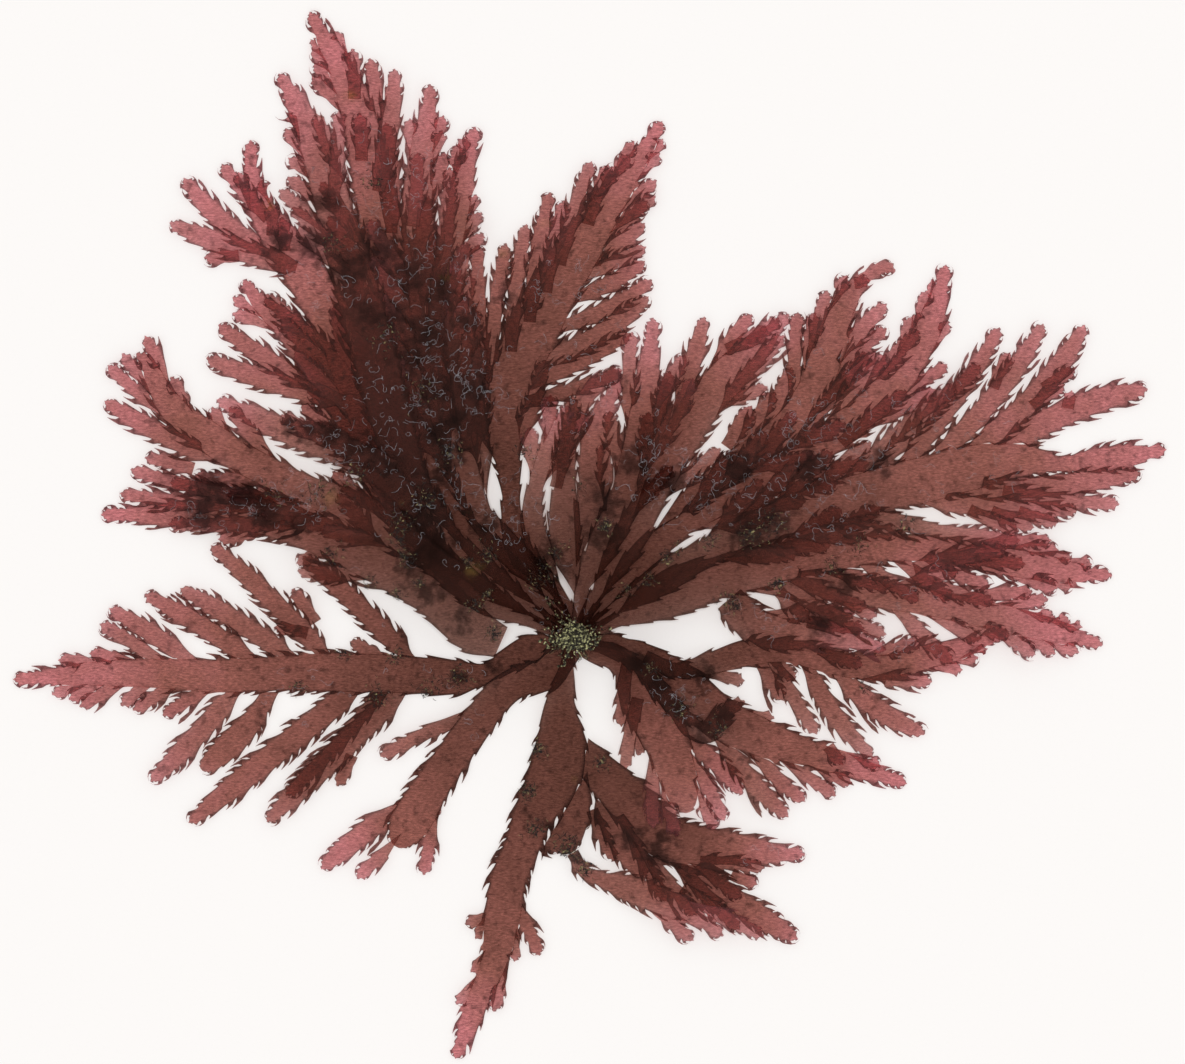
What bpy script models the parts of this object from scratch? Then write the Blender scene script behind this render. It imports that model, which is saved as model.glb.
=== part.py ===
"""A pressed plant of a membranous red seaweed: a rooting tuft and the toothed fronds that spread from it.

Units are metres, +Z is up. The plan of the fronds is in millimetres from the middle of the holdfast, with
+X to the right and +Y to the top of the plant as it lies on its surface, z = 0.
"""

import math
import random

import bmesh
import bpy
import numpy as np
from mathutils import Matrix, Vector
from mathutils.geometry import delaunay_2d_cdt

MM = 0.001

# Driving dimensions, in millimetres.
BLADE_THICKNESS = 0.65
LAYER_GAP = 0.3
STEEPEST_DRAPE = 0.42
TOOTH_PITCH = 1.9
SIDE_TOOTH_PITCH = 2.1
TOOTH_REACH = 0.42
TOOTH_LEAN = 0.45
TOOTHED_FROM = 0.9
SMOOTH_WITHIN = 9.0
TOOTH_WIDTH_SHARE = 0.35
TOOTH_VARIES = (0.75, 1.1)
SIDE_SINK = 0.55
SIDE_BOW = 0.04
FILL_PITCH = 3.6
FILL_CLEAR = 2.2
FILL_WIDTH = 1.3
HOLDFAST_RADII = (2.3, 2.2)
HOLDFAST_RINGS = ((0.94, 0.0), (1.0, 0.5), (0.9, 1.2), (0.66, 1.9), (0.3, 2.3))
HOLDFAST_LOBES = 11
LOBE_DEPTH = 0.07

# How far a plain side blade turns from the midline, in radians.
FILL_ANGLE = 0.6

# How a side blade's width changes along it: its share at the base, the share of its length over which it
# opens, where it starts to close, and how blunt its tip is.
SIDE_BASE_SHARE = 0.42
SIDE_OPEN_AT = 0.4
SIDE_CLOSES_FROM = 0.5
SIDE_BLUNTNESS = 0.6

# Limits of the outlines, in millimetres and square millimetres.
POINTED_BELOW = 0.05
JOIN_WITHIN = 0.01
PINCH_PATCH = 0.2
PATCH_CORNERS = 6
EASE_WITHIN = 0.05
SHORTEST_EDGE = 0.2
SMALLEST_GAP = 0.5

# The grid that keeps how high the fronds already laid reach, in millimetres.
GRID_CELL = 0.2
GRID_LOW = (-54.0, -42.0)
GRID_HIGH = (56.0, 60.0)
SAMPLE_PITCH = 0.2
SETTLE_ROUNDS = 60
SETTLED_WITHIN = 1e-4

SEED = 7
ROUGHNESS = 0.5
FROND_COLOUR = (0.30, 0.085, 0.062, 1.0)
HOLDFAST_COLOUR = (0.055, 0.06, 0.035, 1.0)

# Each frond is one or more branches, and the fronds that lie underneath come first. A branch has
#   line: its midline from base to tip as (x, y, width), with a width of 0 at a pointed tip,
#   sides: its side blades as (base x, base y, tip x, tip y, width). A sixth number is how far the blade
#       bows away from the parent's tip, as a share of its length, where SIDE_BOW doesn't fit,
#   fill: shares of the midline between which plain side blades fill both margins, and their reach.
FRONDS = {
    "frond_west": [
        {
            "line": [
                (-1.9, -0.5, 1.2), (-4.0, -1.1, 2.4), (-7.4, -3.0, 1.7), (-10.0, -3.4, 2.9),
                (-14.0, -3.2, 3.1), (-20.0, -3.0, 3.3), (-25.0, -3.1, 2.9), (-30.0, -3.3, 2.8),
                (-35.0, -3.1, 2.5), (-40.0, -3.1, 2.1), (-44.0, -3.35, 1.4), (-47.4, -3.6, 0.0),
            ],
            "sides": [
                (-14.2, -1.2, -23.0, 6.8, 1.8), (-21.4, -1.0, -30.7, 7.7, 1.8),
                (-24.2, -1.3, -33.3, 4.1, 1.8), (-27.4, -1.8, -36.3, 3.6, 1.8),
                (-32.6, -1.8, -39.3, 2.4, 1.7), (-35.3, -1.8, -40.1, 1.1, 1.3),
                (-38.0, -2.1, -41.0, -1.4, 0.9), (-40.8, -2.2, -43.6, -2.0, 0.5),
                (-22.1, 1.6, -23.9, 4.0, 0.5), (-23.0, 0.4, -25.4, 0.8, 0.6),
                (-16.9, -1.6, -19.0, -0.4, 0.6), (-15.0, -5.0, -26.0, -15.6, 2.2, 0.0),
                (-18.9, -4.9, -32.6, -15.7, 2.2, 0.0), (-16.5, -5.0, -24.4, -13.4, 1.3),
                (-28.7, -4.9, -35.8, -12.2, 1.9), (-31.6, -4.8, -34.8, -6.6, 1.1),
                (-34.6, -4.5, -37.3, -6.2, 1.0), (-36.6, -4.5, -38.3, -5.8, 0.6),
                (-39.0, -4.3, -41.8, -5.9, 0.8), (-40.6, -4.3, -42.7, -5.3, 0.5),
                (-42.3, -4.1, -44.1, -4.9, 0.5), (-19.0, -10.4, -20.1, -12.6, 0.45),
            ],
        },
        {"line": [(-25.6, -4.4, 0.8), (-27.2, -7.0, 1.8), (-29.3, -9.3, 2.2), (-31.5, -11.2, 1.4)]},
    ],
    "frond_southwest": [
        {
            "line": [
                (-1.2, -1.7, 0.5), (-2.5, -3.2, 0.6), (-4.6, -3.7, 0.8), (-6.4, -4.9, 1.9),
                (-8.0, -6.9, 2.8), (-10.0, -9.6, 2.8), (-12.0, -12.5, 3.0), (-13.7, -15.3, 3.4),
                (-15.1, -17.7, 2.7),
            ],
            "sides": [
                (-9.2, -7.6, -16.4, -10.1, 1.1), (-14.6, -15.2, -21.4, -19.6, 2.0),
                (-16.1, -17.1, -18.4, -20.4, 0.9), (-12.4, -15.8, -12.8, -20.1, 0.8),
                (-12.0, -14.3, -11.4, -15.0, 0.2),
            ],
        },
    ],
    "frond_south": [
        {
            "line": [
                (-0.6, -1.7, 0.9), (-0.8, -3.2, 1.5), (-1.3, -6.0, 2.7), (-1.2, -9.0, 4.2),
                (-1.9, -12.0, 4.4), (-3.5, -15.0, 3.4), (-4.4, -17.5, 3.0), (-5.6, -20.5, 3.0),
                (-6.2, -24.0, 3.0), (-6.7, -27.0, 2.3), (-7.9, -30.0, 1.9), (-9.1, -33.0, 1.6),
                (-10.1, -35.6, 0.0),
            ],
            "sides": [
                (-4.4, -23.5, -3.0, -26.9, 0.6), (-5.1, -25.6, -5.1, -27.4, 0.5),
                (-7.4, -23.7, -9.3, -24.2, 0.35), (-7.4, -24.4, -8.4, -25.5, 0.5),
                (-6.6, -28.2, -6.9, -31.6, 0.8), (-8.5, -29.6, -10.0, -31.0, 0.5),
                (-7.5, -27.6, -8.8, -28.3, 0.25),
            ],
        },
        {"line": [(-0.4, -11.5, 3.0), (-0.2, -14.5, 3.6), (-0.1, -17.4, 2.6)]},
        {
            "line": [
                (0.0, -9.4, 2.6), (2.3, -11.6, 3.2), (4.7, -14.0, 3.8), (7.4, -16.8, 3.8),
                (10.5, -17.6, 3.3), (14.0, -17.9, 2.5), (17.0, -18.3, 1.6), (19.4, -18.3, 0.0),
            ],
            "sides": [
                (11.0, -19.0, 16.0, -19.5, 1.0),
                (9.0, -19.4, 18.8, -25.5, 2.3), (8.6, -19.6, 13.9, -24.7, 1.4),
                (5.6, -18.0, 10.3, -23.5, 1.4), (4.6, -17.4, 7.9, -22.4, 1.0),
                (10.4, -20.0, 14.1, -22.0, 1.2), (9.4, -21.4, 12.3, -23.2, 0.8),
                (13.6, -20.2, 15.4, -20.9, 0.5), (1.6, -15.0, 3.4, -18.9, 1.3),
            ],
        },
    ],
    "frond_south_knot": [
        {
            "line": [
                (-0.2, -18.2, 0.9), (0.8, -19.8, 0.9), (2.4, -20.5, 1.3), (4.2, -21.1, 2.1),
                (6.6, -22.0, 2.3), (9.5, -23.2, 1.9), (12.5, -25.2, 0.0),
            ],
            "sides": [(7.4, -23.3, 10.0, -25.6, 1.0), (10.4, -22.9, 15.9, -25.2, 1.5)],
        },
    ],
    "frond_southeast_1": [
        {
            "line": [
                (1.6, -1.2, 0.7), (3.6, -2.0, 1.0), (5.3, -4.2, 2.6), (7.4, -8.0, 3.3),
                (8.5, -11.2, 3.3), (9.5, -14.8, 2.0),
            ],
            "sides": [
                (4.4, -2.4, 3.9, -7.6, 1.0), (5.2, -5.6, 4.2, -11.2, 1.1),
                (7.2, -10.6, 6.6, -16.1, 1.2), (7.9, -13.0, 8.6, -16.8, 1.0),
                (9.2, -9.0, 14.1, -13.3, 1.6, 0.1), (9.8, -10.8, 12.6, -15.5, 1.3),
                (10.1, -13.4, 11.8, -16.3, 0.8), (6.4, -8.6, 5.3, -10.0, 0.25),
            ],
        },
    ],
    "frond_southeast_2": [
        {
            "line": [
                (2.1, -0.3, 0.5), (3.8, -0.5, 0.6), (5.4, -1.4, 1.3), (7.4, -3.2, 2.4),
                (9.6, -4.9, 3.4), (12.5, -7.0, 3.5), (16.0, -8.6, 3.2), (20.0, -9.9, 2.2),
                (24.0, -11.1, 1.9), (28.0, -12.4, 0.0),
            ],
            "sides": [
                (12.5, -9.0, 18.0, -15.2, 1.7, 0.08), (15.4, -10.1, 19.4, -13.9, 1.4, 0.08),
                (18.3, -10.7, 22.0, -13.4, 1.2), (21.0, -11.1, 23.4, -12.4, 0.5),
                (21.6, -9.6, 22.6, -10.8, 0.6), (15.3, -6.8, 16.8, -6.9, 0.35),
                (24.0, -10.5, 25.8, -10.9, 0.4),
            ],
        },
    ],
    "frond_east_low": [
        {
            "line": [
                (5.9, -1.6, 1.0), (8.5, -2.8, 1.3), (11.5, -2.2, 1.9), (14.5, -1.4, 2.2),
                (18.0, -1.2, 2.0), (22.0, -2.2, 2.1), (26.0, -2.6, 2.2), (30.0, -1.6, 2.1),
                (33.0, -0.9, 1.6), (36.5, 0.5, 0.0),
            ],
            "sides": [
                (15.7, -2.2, 17.6, -5.4, 1.2), (16.8, -2.1, 20.4, -8.2, 1.4),
                (17.2, -2.0, 18.6, -3.7, 0.6), (19.6, -2.8, 25.1, -10.1, 1.7, 0.12),
                (22.3, -3.3, 29.5, -8.2, 1.9, 0.12), (25.2, -3.5, 30.1, -3.8, 1.1),
                (30.7, -2.3, 32.7, -2.8, 0.5), (32.3, -1.7, 34.0, -1.7, 0.5),
                (33.5, -1.2, 34.8, -1.0, 0.4), (11.8, -3.0, 14.3, -3.7, 0.6),
                (21.0, -1.2, 24.3, -2.4, 0.9), (25.5, -1.8, 29.3, -0.4, 0.8),
            ],
        },
    ],
    "frond_folded_strap": [
        {
            "line": [
                (2.6, -1.0, 0.8), (4.6, -1.9, 1.0), (6.6, -3.6, 1.2), (8.2, -5.6, 1.4),
                (9.5, -7.3, 1.7), (10.7, -8.0, 1.8), (12.0, -7.2, 1.6), (13.2, -5.9, 1.2),
                (14.3, -5.4, 0.4),
            ],
        },
    ],
    "frond_east_mid": [
        {
            "line": [
                (13.0, 3.2, 2.6), (14.6, 1.4, 2.9), (17.0, 0.3, 2.8), (20.0, 0.3, 2.4),
                (23.0, -0.1, 1.8), (26.2, -1.1, 0.0),
            ],
            "sides": [(20.0, 1.2, 24.4, 0.7, 1.2), (16.8, 1.6, 23.6, 1.9, 1.6)],
        },
    ],
    "frond_east_2": [
        {
            "line": [
                (2.3, 0.85, 0.35), (4.6, 1.9, 1.3), (7.0, 3.2, 2.4), (10.0, 4.4, 3.2),
                (14.0, 5.5, 3.6), (18.0, 6.4, 3.2), (22.0, 7.0, 2.8), (26.0, 7.5, 2.4),
                (30.0, 7.4, 2.2), (34.0, 6.8, 2.3), (38.0, 6.1, 2.4), (42.0, 5.4, 1.8),
                (45.3, 5.2, 0.0),
            ],
            "sides": [
                (34.6, 7.7, 40.2, 8.1, 0.9), (37.3, 7.2, 40.8, 7.3, 0.5),
                (39.8, 6.7, 41.9, 6.6, 0.4), (41.9, 6.1, 43.6, 6.1, 0.3),
                (37.6, 5.1, 40.7, 4.1, 0.7), (40.4, 4.8, 42.0, 4.2, 0.4),
                (31.0, 6.6, 38.0, 6.1, 1.1), (29.0, 5.9, 36.4, 7.4, 1.6),
                (24.5, 6.8, 29.0, 3.0, 1.2), (27.4, 6.6, 31.9, 3.1, 1.2),
                (18.6, 5.6, 24.6, 2.4, 1.2),
            ],
        },
        {
            "line": [
                (8.0, 3.3, 2.0), (13.0, 4.3, 2.2),
                (18.0, 4.4, 2.4), (22.0, 4.2, 2.4), (26.0, 3.5, 2.3), (30.0, 2.9, 2.3),
                (34.0, 2.0, 2.3), (38.0, 1.1, 2.3), (41.5, 0.2, 1.8), (44.5, -0.7, 0.0),
            ],
            "sides": [
                (19.2, 3.4, 26.8, 0.2, 1.3), (23.0, 3.0, 28.6, 0.5, 1.2),
                (27.4, 2.3, 31.8, -2.2, 1.5), (30.8, 1.9, 34.2, -0.2, 1.0),
                (33.6, 1.0, 36.6, 0.1, 0.9), (35.9, 0.4, 38.8, -1.5, 0.9),
                (38.8, -0.1, 40.5, -1.4, 0.6), (40.5, -0.4, 42.5, -1.3, 0.5),
                (33.5, 3.1, 38.6, 3.8, 1.0), (36.5, 2.5, 39.9, 3.2, 0.7),
                (38.3, 2.1, 40.5, 1.6, 0.4), (39.8, 1.5, 41.8, 1.2, 0.4),
                (41.2, 1.0, 42.8, 0.8, 0.35), (30.5, 4.3, 35.3, 2.9, 1.1),
                (17.5, 3.5, 19.8, 1.4, 0.9),
            ],
        },
    ],
    "frond_northeast": [
        {
            "line": [
                (1.6, 1.9, 0.35), (3.6, 4.3, 0.9), (6.2, 7.2, 1.4), (9.6, 9.7, 1.8), (14.0, 12.2, 2.4),
                (19.0, 15.2, 2.8), (23.5, 18.2, 2.9), (26.8, 21.3, 2.8), (29.2, 24.8, 2.4),
                (30.5, 28.0, 1.8), (31.3, 31.4, 0.0),
            ],
            "sides": [
                (27.8, 21.2, 31.4, 23.0, 1.0), (30.0, 25.0, 31.4, 26.7, 0.6),
                (25.6, 18.9, 30.4, 20.9, 1.1), (22.8, 16.6, 28.0, 20.7, 1.3),
                (25.2, 20.9, 29.0, 25.8, 1.5), (28.2, 24.5, 28.4, 27.0, 0.6),
                (28.9, 26.0, 29.1, 27.4, 0.4), (29.4, 27.0, 29.7, 29.2, 0.5),
                (22.3, 18.6, 26.3, 23.8, 1.3), (19.5, 16.6, 24.8, 24.0, 1.4),
                (30.2, 29.0, 30.2, 30.2, 0.3),
            ],
            "fill": (0.25, 0.6, 5.5),
        },
        {
            "line": [
                (5.0, 5.9, 1.0), (6.6, 8.0, 1.2), (9.2, 11.0, 1.8), (13.3, 14.3, 2.4),
                (17.3, 17.2, 2.6), (19.9, 20.5, 2.7), (21.3, 24.0, 2.8), (22.3, 27.0, 2.4),
                (23.4, 29.2, 1.7), (24.9, 30.6, 0.9), (26.1, 31.2, 0.9), (27.0, 30.8, 0.5),
            ],
            "sides": [
                (18.8, 20.6, 18.8, 27.4, 1.2), (20.6, 24.3, 21.3, 29.2, 0.9),
                (19.7, 23.5, 20.2, 27.4, 1.2), (22.2, 28.0, 22.9, 30.5, 0.6),
                (22.8, 24.0, 26.3, 28.1, 1.6, -0.06), (22.0, 21.8, 26.3, 26.0, 1.4, -0.08),
                (20.8, 19.8, 25.4, 24.0, 1.4), (23.2, 27.9, 23.9, 28.2, 0.3),
                (24.0, 29.9, 24.9, 30.1, 0.3),
            ],
            "fill": (0.2, 0.6, 5.0),
        },
    ],
    "frond_north": [
        {
            "line": [
                (-0.6, 2.35, 0.35), (-2.2, 4.6, 0.7), (-4.6, 7.2, 0.9), (-5.3, 9.8, 1.1), (-5.5, 13.5, 1.8),
                (-6.0, 17.5, 2.8), (-5.6, 21.0, 3.6), (-4.0, 25.0, 4.4), (-2.0, 29.0, 4.2),
                (0.2, 32.5, 3.8), (2.4, 36.0, 3.0), (4.6, 39.2, 2.0), (6.2, 41.6, 1.3),
                (7.35, 43.5, 0.0),
            ],
            "sides": [
                (-7.2, 20.5, -8.2, 33.1, 1.5), (-6.6, 22.0, -5.8, 33.2, 1.4),
                (-5.4, 24.5, -4.1, 34.8, 1.4), (-3.8, 27.0, -2.1, 37.5, 1.5),
                (-2.4, 29.5, -0.9, 36.8, 1.1), (-1.2, 31.8, 1.4, 40.1, 1.4),
                (1.2, 35.2, 2.8, 39.8, 0.7), (2.6, 37.0, 3.6, 39.7, 0.4),
                (3.5, 38.2, 4.6, 40.7, 0.5), (4.4, 39.5, 5.0, 41.8, 0.4),
                (3.9, 36.8, 6.9, 38.5, 0.8), (3.0, 35.4, 6.8, 37.2, 0.8),
                (2.4, 34.2, 6.1, 36.8, 1.2), (1.4, 32.4, 5.9, 34.9, 1.6),
                (0.8, 30.9, 6.0, 32.9, 1.4), (-0.6, 29.2, 5.9, 31.7, 1.5, 0.1),
                (-1.6, 26.4, 6.5, 30.1, 1.5, 0.1), (-2.9, 23.4, 6.2, 28.7, 1.9, 0.1),
                (-4.0, 21.6, 4.7, 25.6, 1.5), (-4.4, 19.8, 3.9, 22.4, 1.3),
                (5.3, 39.6, 7.1, 40.9, 0.5), (6.1, 41.0, 7.4, 42.0, 0.35),
            ],
        },
    ],
    "frond_northwest_1": [
        {
            "line": [
                (-1.7, 1.75, 0.35), (-3.7, 3.7, 0.9), (-6.2, 6.1, 1.5), (-9.4, 9.2, 2.4), (-11.9, 13.5, 3.2),
                (-13.1, 18.0, 3.6), (-14.0, 23.0, 3.8), (-14.9, 28.0, 3.8), (-15.9, 33.0, 3.8),
                (-16.9, 37.5, 3.5), (-17.7, 41.5, 3.1), (-18.6, 45.0, 2.8), (-19.8, 48.0, 2.2),
                (-21.1, 50.4, 1.5), (-22.4, 52.7, 0.0),
            ],
            "sides": [
                (-19.4, 45.4, -22.2, 47.3, 0.9), (-19.9, 47.0, -22.0, 48.4, 0.6),
                (-20.6, 48.6, -22.2, 49.6, 0.35), (-21.3, 49.6, -22.3, 50.4, 0.3),
                (-17.6, 43.2, -17.3, 48.8, 1.4), (-18.6, 45.8, -18.8, 49.6, 0.9),
                (-19.4, 48.0, -19.4, 49.4, 0.4), (-20.4, 49.2, -20.3, 51.1, 0.4),
                (-16.5, 38.0, -15.2, 47.9, 1.8), (-15.5, 34.5, -16.0, 43.4, 1.7),
                (-18.0, 40.6, -18.2, 44.2, 1.4),
            ],
        },
    ],
    "frond_northwest_3": [
        {
            "line": [
                (-2.35, 0.8, 0.35), (-4.8, 1.9, 0.9), (-8.4, 3.9, 1.5), (-12.6, 8.2, 2.5), (-15.7, 13.6, 3.0),
                (-17.7, 19.4, 3.4), (-19.8, 25.2, 3.6), (-22.4, 30.0, 3.5), (-25.0, 33.8, 3.0),
                (-26.7, 36.6, 2.0), (-27.3, 39.0, 1.3), (-27.35, 41.9, 0.0),
            ],
            "sides": [
                (-26.2, 35.6, -29.8, 39.9, 1.4), (-25.3, 33.0, -33.0, 38.7, 1.8, 0.12),
                (-23.9, 31.3, -34.2, 34.9, 2.0), (-28.8, 32.1, -31.3, 32.0, 0.4),
                (-26.5, 36.8, -26.5, 38.5, 0.5), (-25.5, 34.3, -25.7, 36.5, 0.7),
                (-24.5, 33.0, -24.7, 35.4, 0.5), (-27.2, 37.0, -28.4, 39.2, 0.7),
            ],
        },
        {
            "line": [
                (-9.6, 4.8, 1.4), (-13.6, 8.4, 2.4), (-16.6, 13.8, 3.0),
                (-19.0, 19.2, 3.5), (-21.6, 23.3, 3.3), (-24.3, 26.2, 2.4), (-26.6, 28.2, 1.5),
                (-28.0, 30.1, 0.0),
            ],
            "sides": [
                (-26.9, 27.9, -28.9, 28.6, 0.4), (-26.0, 26.5, -28.9, 27.3, 0.8),
                (-21.6, 21.7, -30.1, 26.3, 1.7), (-20.0, 20.0, -31.1, 23.5, 1.9),
            ],
        },
    ],
    "frond_east_1": [
        {
            "line": [
                (2.0, 1.35, 0.35), (4.3, 3.0, 0.9), (7.5, 5.0, 1.4), (11.0, 7.1, 2.2),
                (15.0, 9.0, 2.9), (20.0, 10.9, 3.4), (25.0, 12.2, 3.6), (30.0, 13.4, 3.9),
                (34.0, 14.4, 3.7), (38.0, 14.9, 2.6), (41.0, 14.6, 1.3), (44.0, 14.9, 2.0),
                (47.0, 15.3, 1.9), (49.9, 15.8, 0.0),
            ],
            "sides": [
                (36.6, 16.3, 48.3, 20.9, 2.3, 0.12), (34.0, 16.2, 43.0, 26.3, 2.1, -0.12),
                (31.0, 15.4, 39.5, 26.4, 1.9, -0.08), (27.9, 14.6, 35.8, 26.1, 1.7, -0.06),
                (25.4, 14.0, 34.2, 22.9, 1.3), (23.5, 13.6, 32.1, 21.2, 1.3),
                (33.3, 12.6, 47.7, 13.8, 2.0), (30.0, 11.7, 42.4, 10.7, 1.8),
                (36.5, 12.2, 45.9, 11.2, 1.2), (35.5, 10.4, 38.7, 9.2, 0.6),
                (37.8, 10.4, 40.7, 9.6, 0.6), (33.6, 10.5, 37.4, 8.9, 0.7),
                (39.9, 21.2, 42.2, 22.6, 0.5), (38.9, 19.7, 41.3, 21.3, 0.5),
                (41.6, 19.7, 41.9, 20.8, 0.5), (35.4, 21.4, 36.7, 24.0, 0.5),
            ],
            "fill": (0.22, 0.5, 5.5),
        },
        {
            "line": [
                (22.0, 10.4, 1.6), (27.0, 9.9, 1.6), (31.0, 9.7, 1.3), (34.5, 9.0, 1.1),
                (37.5, 8.1, 0.0),
            ],
        },
    ],
    "frond_northeast_upper": [
        {
            "line": [
                (1.1, 2.25, 0.35), (2.6, 4.9, 0.9), (4.6, 8.4, 1.7), (6.6, 12.3, 2.6), (8.7, 16.3, 3.1),
                (10.8, 19.7, 3.3), (13.4, 22.5, 3.1), (15.8, 24.9, 2.2), (18.0, 27.2, 0.0),
            ],
            "sides": [
                (12.2, 22.8, 14.9, 27.2, 1.5), (9.0, 19.3, 10.9, 27.0, 1.7, -0.03),
                (14.9, 25.0, 17.2, 26.9, 0.9), (12.2, 19.6, 17.6, 25.4, 1.6),
                (12.6, 20.4, 16.2, 21.1, 0.7), (13.0, 16.4, 14.9, 19.5, 1.7),
                (13.2, 24.4, 16.2, 26.2, 0.9),
            ],
        },
    ],
    "frond_north_northwest": [
        {
            "line": [
                (-1.15, 2.1, 0.35), (-2.7, 4.6, 0.8), (-5.2, 7.0, 1.2), (-8.0, 10.4, 2.0), (-10.0, 16.0, 2.9),
                (-11.3, 22.0, 3.2), (-12.2, 27.0, 3.2), (-12.9, 32.0, 3.0), (-13.3, 36.5, 2.6),
                (-12.9, 41.0, 2.0), (-12.4, 44.0, 1.5), (-12.2, 46.6, 0.0),
            ],
            "sides": [
                (-12.5, 37.0, -11.0, 40.9, 1.1), (-13.6, 35.0, -13.3, 40.8, 1.4),
                (-11.8, 31.0, -10.6, 39.6, 1.5), (-12.0, 41.8, -11.1, 44.0, 0.4),
                (-12.3, 40.7, -11.2, 42.7, 0.5), (-13.3, 41.5, -13.9, 43.7, 0.4),
            ],
        },
        {
            "line": [
                (-11.6, 24.0, 1.6), (-11.2, 29.0, 2.0), (-10.5, 33.0, 2.0), (-9.8, 36.5, 1.9),
                (-9.3, 39.5, 1.8), (-8.4, 43.0, 0.0),
            ],
            "sides": [
                (-9.2, 35.9, -8.3, 37.3, 0.5), (-9.6, 34.0, -7.9, 35.8, 0.5),
                (-10.0, 32.0, -7.7, 34.0, 0.6), (-9.9, 38.5, -9.8, 41.6, 0.4),
                (-9.5, 40.0, -9.2, 42.2, 0.4),
            ],
        },
        {
            "line": [
                (-7.6, 11.0, 1.4), (-8.3, 15.5, 2.2), (-9.1, 21.5, 2.6), (-9.8, 26.5, 2.2),
                (-10.2, 31.6, 0.0),
            ],
        },
    ],
    "frond_northwest_2": [
        {
            "line": [
                (-2.1, 1.3, 0.35), (-4.5, 2.9, 0.9), (-7.6, 5.2, 1.5), (-11.2, 8.8, 2.5), (-13.8, 13.0, 3.0),
                (-15.5, 18.5, 3.4), (-17.1, 24.5, 3.6), (-18.6, 30.0, 3.6), (-20.0, 35.0, 3.2),
                (-21.3, 39.5, 2.8), (-22.7, 43.2, 2.2), (-23.8, 45.6, 1.6), (-25.0, 47.5, 0.0),
            ],
            "sides": [
                (-22.9, 42.9, -24.1, 44.2, 0.5), (-22.4, 41.4, -24.4, 42.9, 0.7),
                (-21.9, 39.8, -24.2, 40.4, 0.6), (-21.3, 37.4, -24.2, 38.8, 1.1),
                (-20.8, 35.2, -24.9, 37.7, 1.3), (-20.0, 32.8, -23.8, 36.2, 1.4),
                (-19.6, 31.0, -23.3, 34.6, 1.2), (-20.7, 39.0, -21.8, 44.1, 1.5),
                (-20.3, 37.5, -19.9, 44.3, 1.2),
            ],
        },
    ],
    "frond_north_northeast": [
        {
            "line": [
                (0.35, 2.4, 0.35), (0.8, 4.6, 0.8), (2.3, 7.6, 1.2), (3.9, 11.2, 2.2),
                (5.1, 15.5, 2.4), (5.8, 19.5, 2.2), (6.3, 23.5, 1.7), (6.6, 26.9, 0.0),
            ],
            "sides": [
                (4.6, 18.5, 4.8, 25.7, 1.3), (6.6, 17.5, 8.0, 22.4, 1.0),
                (6.4, 14.5, 9.9, 21.8, 1.5),
            ],
        },
        {
            "line": [
                (0.8, 4.4, 0.6), (1.2, 8.0, 1.1), (1.3, 11.5, 1.8), (1.4, 15.5, 2.0),
                (2.3, 18.8, 1.8), (3.8, 21.6, 0.0),
            ],
        },
        {
            "line": [
                (0.5, 3.6, 0.5), (-0.6, 6.6, 0.9), (-0.9, 10.0, 1.6), (-0.8, 13.5, 1.6),
                (-0.5, 16.5, 1.4), (0.4, 19.3, 1.4), (1.8, 21.2, 1.3), (4.0, 22.5, 0.0),
            ],
            "sides": [(-1.5, 13.0, -0.2, 20.3, 1.4)],
        },
        {
            "line": [
                (-0.1, 5.0, 0.5), (-1.9, 6.7, 0.7), (-3.3, 8.4, 0.8), (-3.6, 10.4, 1.0),
                (-3.2, 13.0, 1.3), (-2.2, 16.0, 1.3), (-0.5, 19.5, 0.0),
            ],
        },
    ],
    "frond_west_northwest_3": [
        {
            "line": [
                (-6.2, -0.4, 2.8), (-8.8, 0.8, 3.8), (-11.6, 3.3, 3.6), (-15.0, 5.3, 3.4),
                (-19.0, 7.4, 3.3), (-23.0, 9.1, 3.2), (-27.0, 10.1, 2.7), (-31.0, 10.4, 2.3),
                (-35.0, 10.3, 1.9), (-40.0, 10.3, 0.0),
            ],
            "sides": [
                (-26.0, 11.0, -38.4, 12.1, 1.4), (-23.8, 11.2, -37.5, 14.1, 1.4),
                (-32.6, 14.3, -36.3, 15.1, 0.6), (-27.2, 8.9, -30.1, 8.2, 0.7),
                (-21.8, 7.6, -23.5, 6.2, 0.7), (-22.0, 9.9, -34.3, 9.5, 1.5),
                (-28.0, 12.4, -34.2, 13.0, 1.0),
            ],
        },
    ],
    "frond_west_northwest_2": [
        {
            "line": [
                (-7.4, 3.2, 1.4), (-13.0, 7.2, 2.4), (-18.0, 10.6, 2.8), (-22.8, 12.9, 2.9),
                (-27.4, 15.0, 2.9), (-31.0, 16.9, 2.7), (-33.6, 18.8, 2.4), (-35.2, 21.2, 1.8),
                (-36.0, 23.0, 1.3), (-37.0, 23.9, 0.5),
            ],
            "sides": [
                (-34.9, 21.6, -36.3, 25.4, 1.1), (-34.6, 20.0, -39.4, 22.9, 1.3),
                (-35.6, 21.6, -38.2, 23.9, 0.8), (-30.4, 15.7, -39.7, 19.9, 1.8),
                (-33.4, 19.4, -34.1, 21.9, 0.6), (-30.2, 17.2, -30.6, 19.4, 0.9),
            ],
        },
    ],
    "frond_west_northwest_1": [
        {
            "line": [
                (-13.0, 10.6, 1.6), (-16.4, 13.8, 2.2), (-20.2, 15.8, 2.3), (-24.0, 17.2, 2.0),
                (-27.2, 18.7, 1.7), (-30.2, 20.0, 0.0),
            ],
            "sides": [
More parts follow.
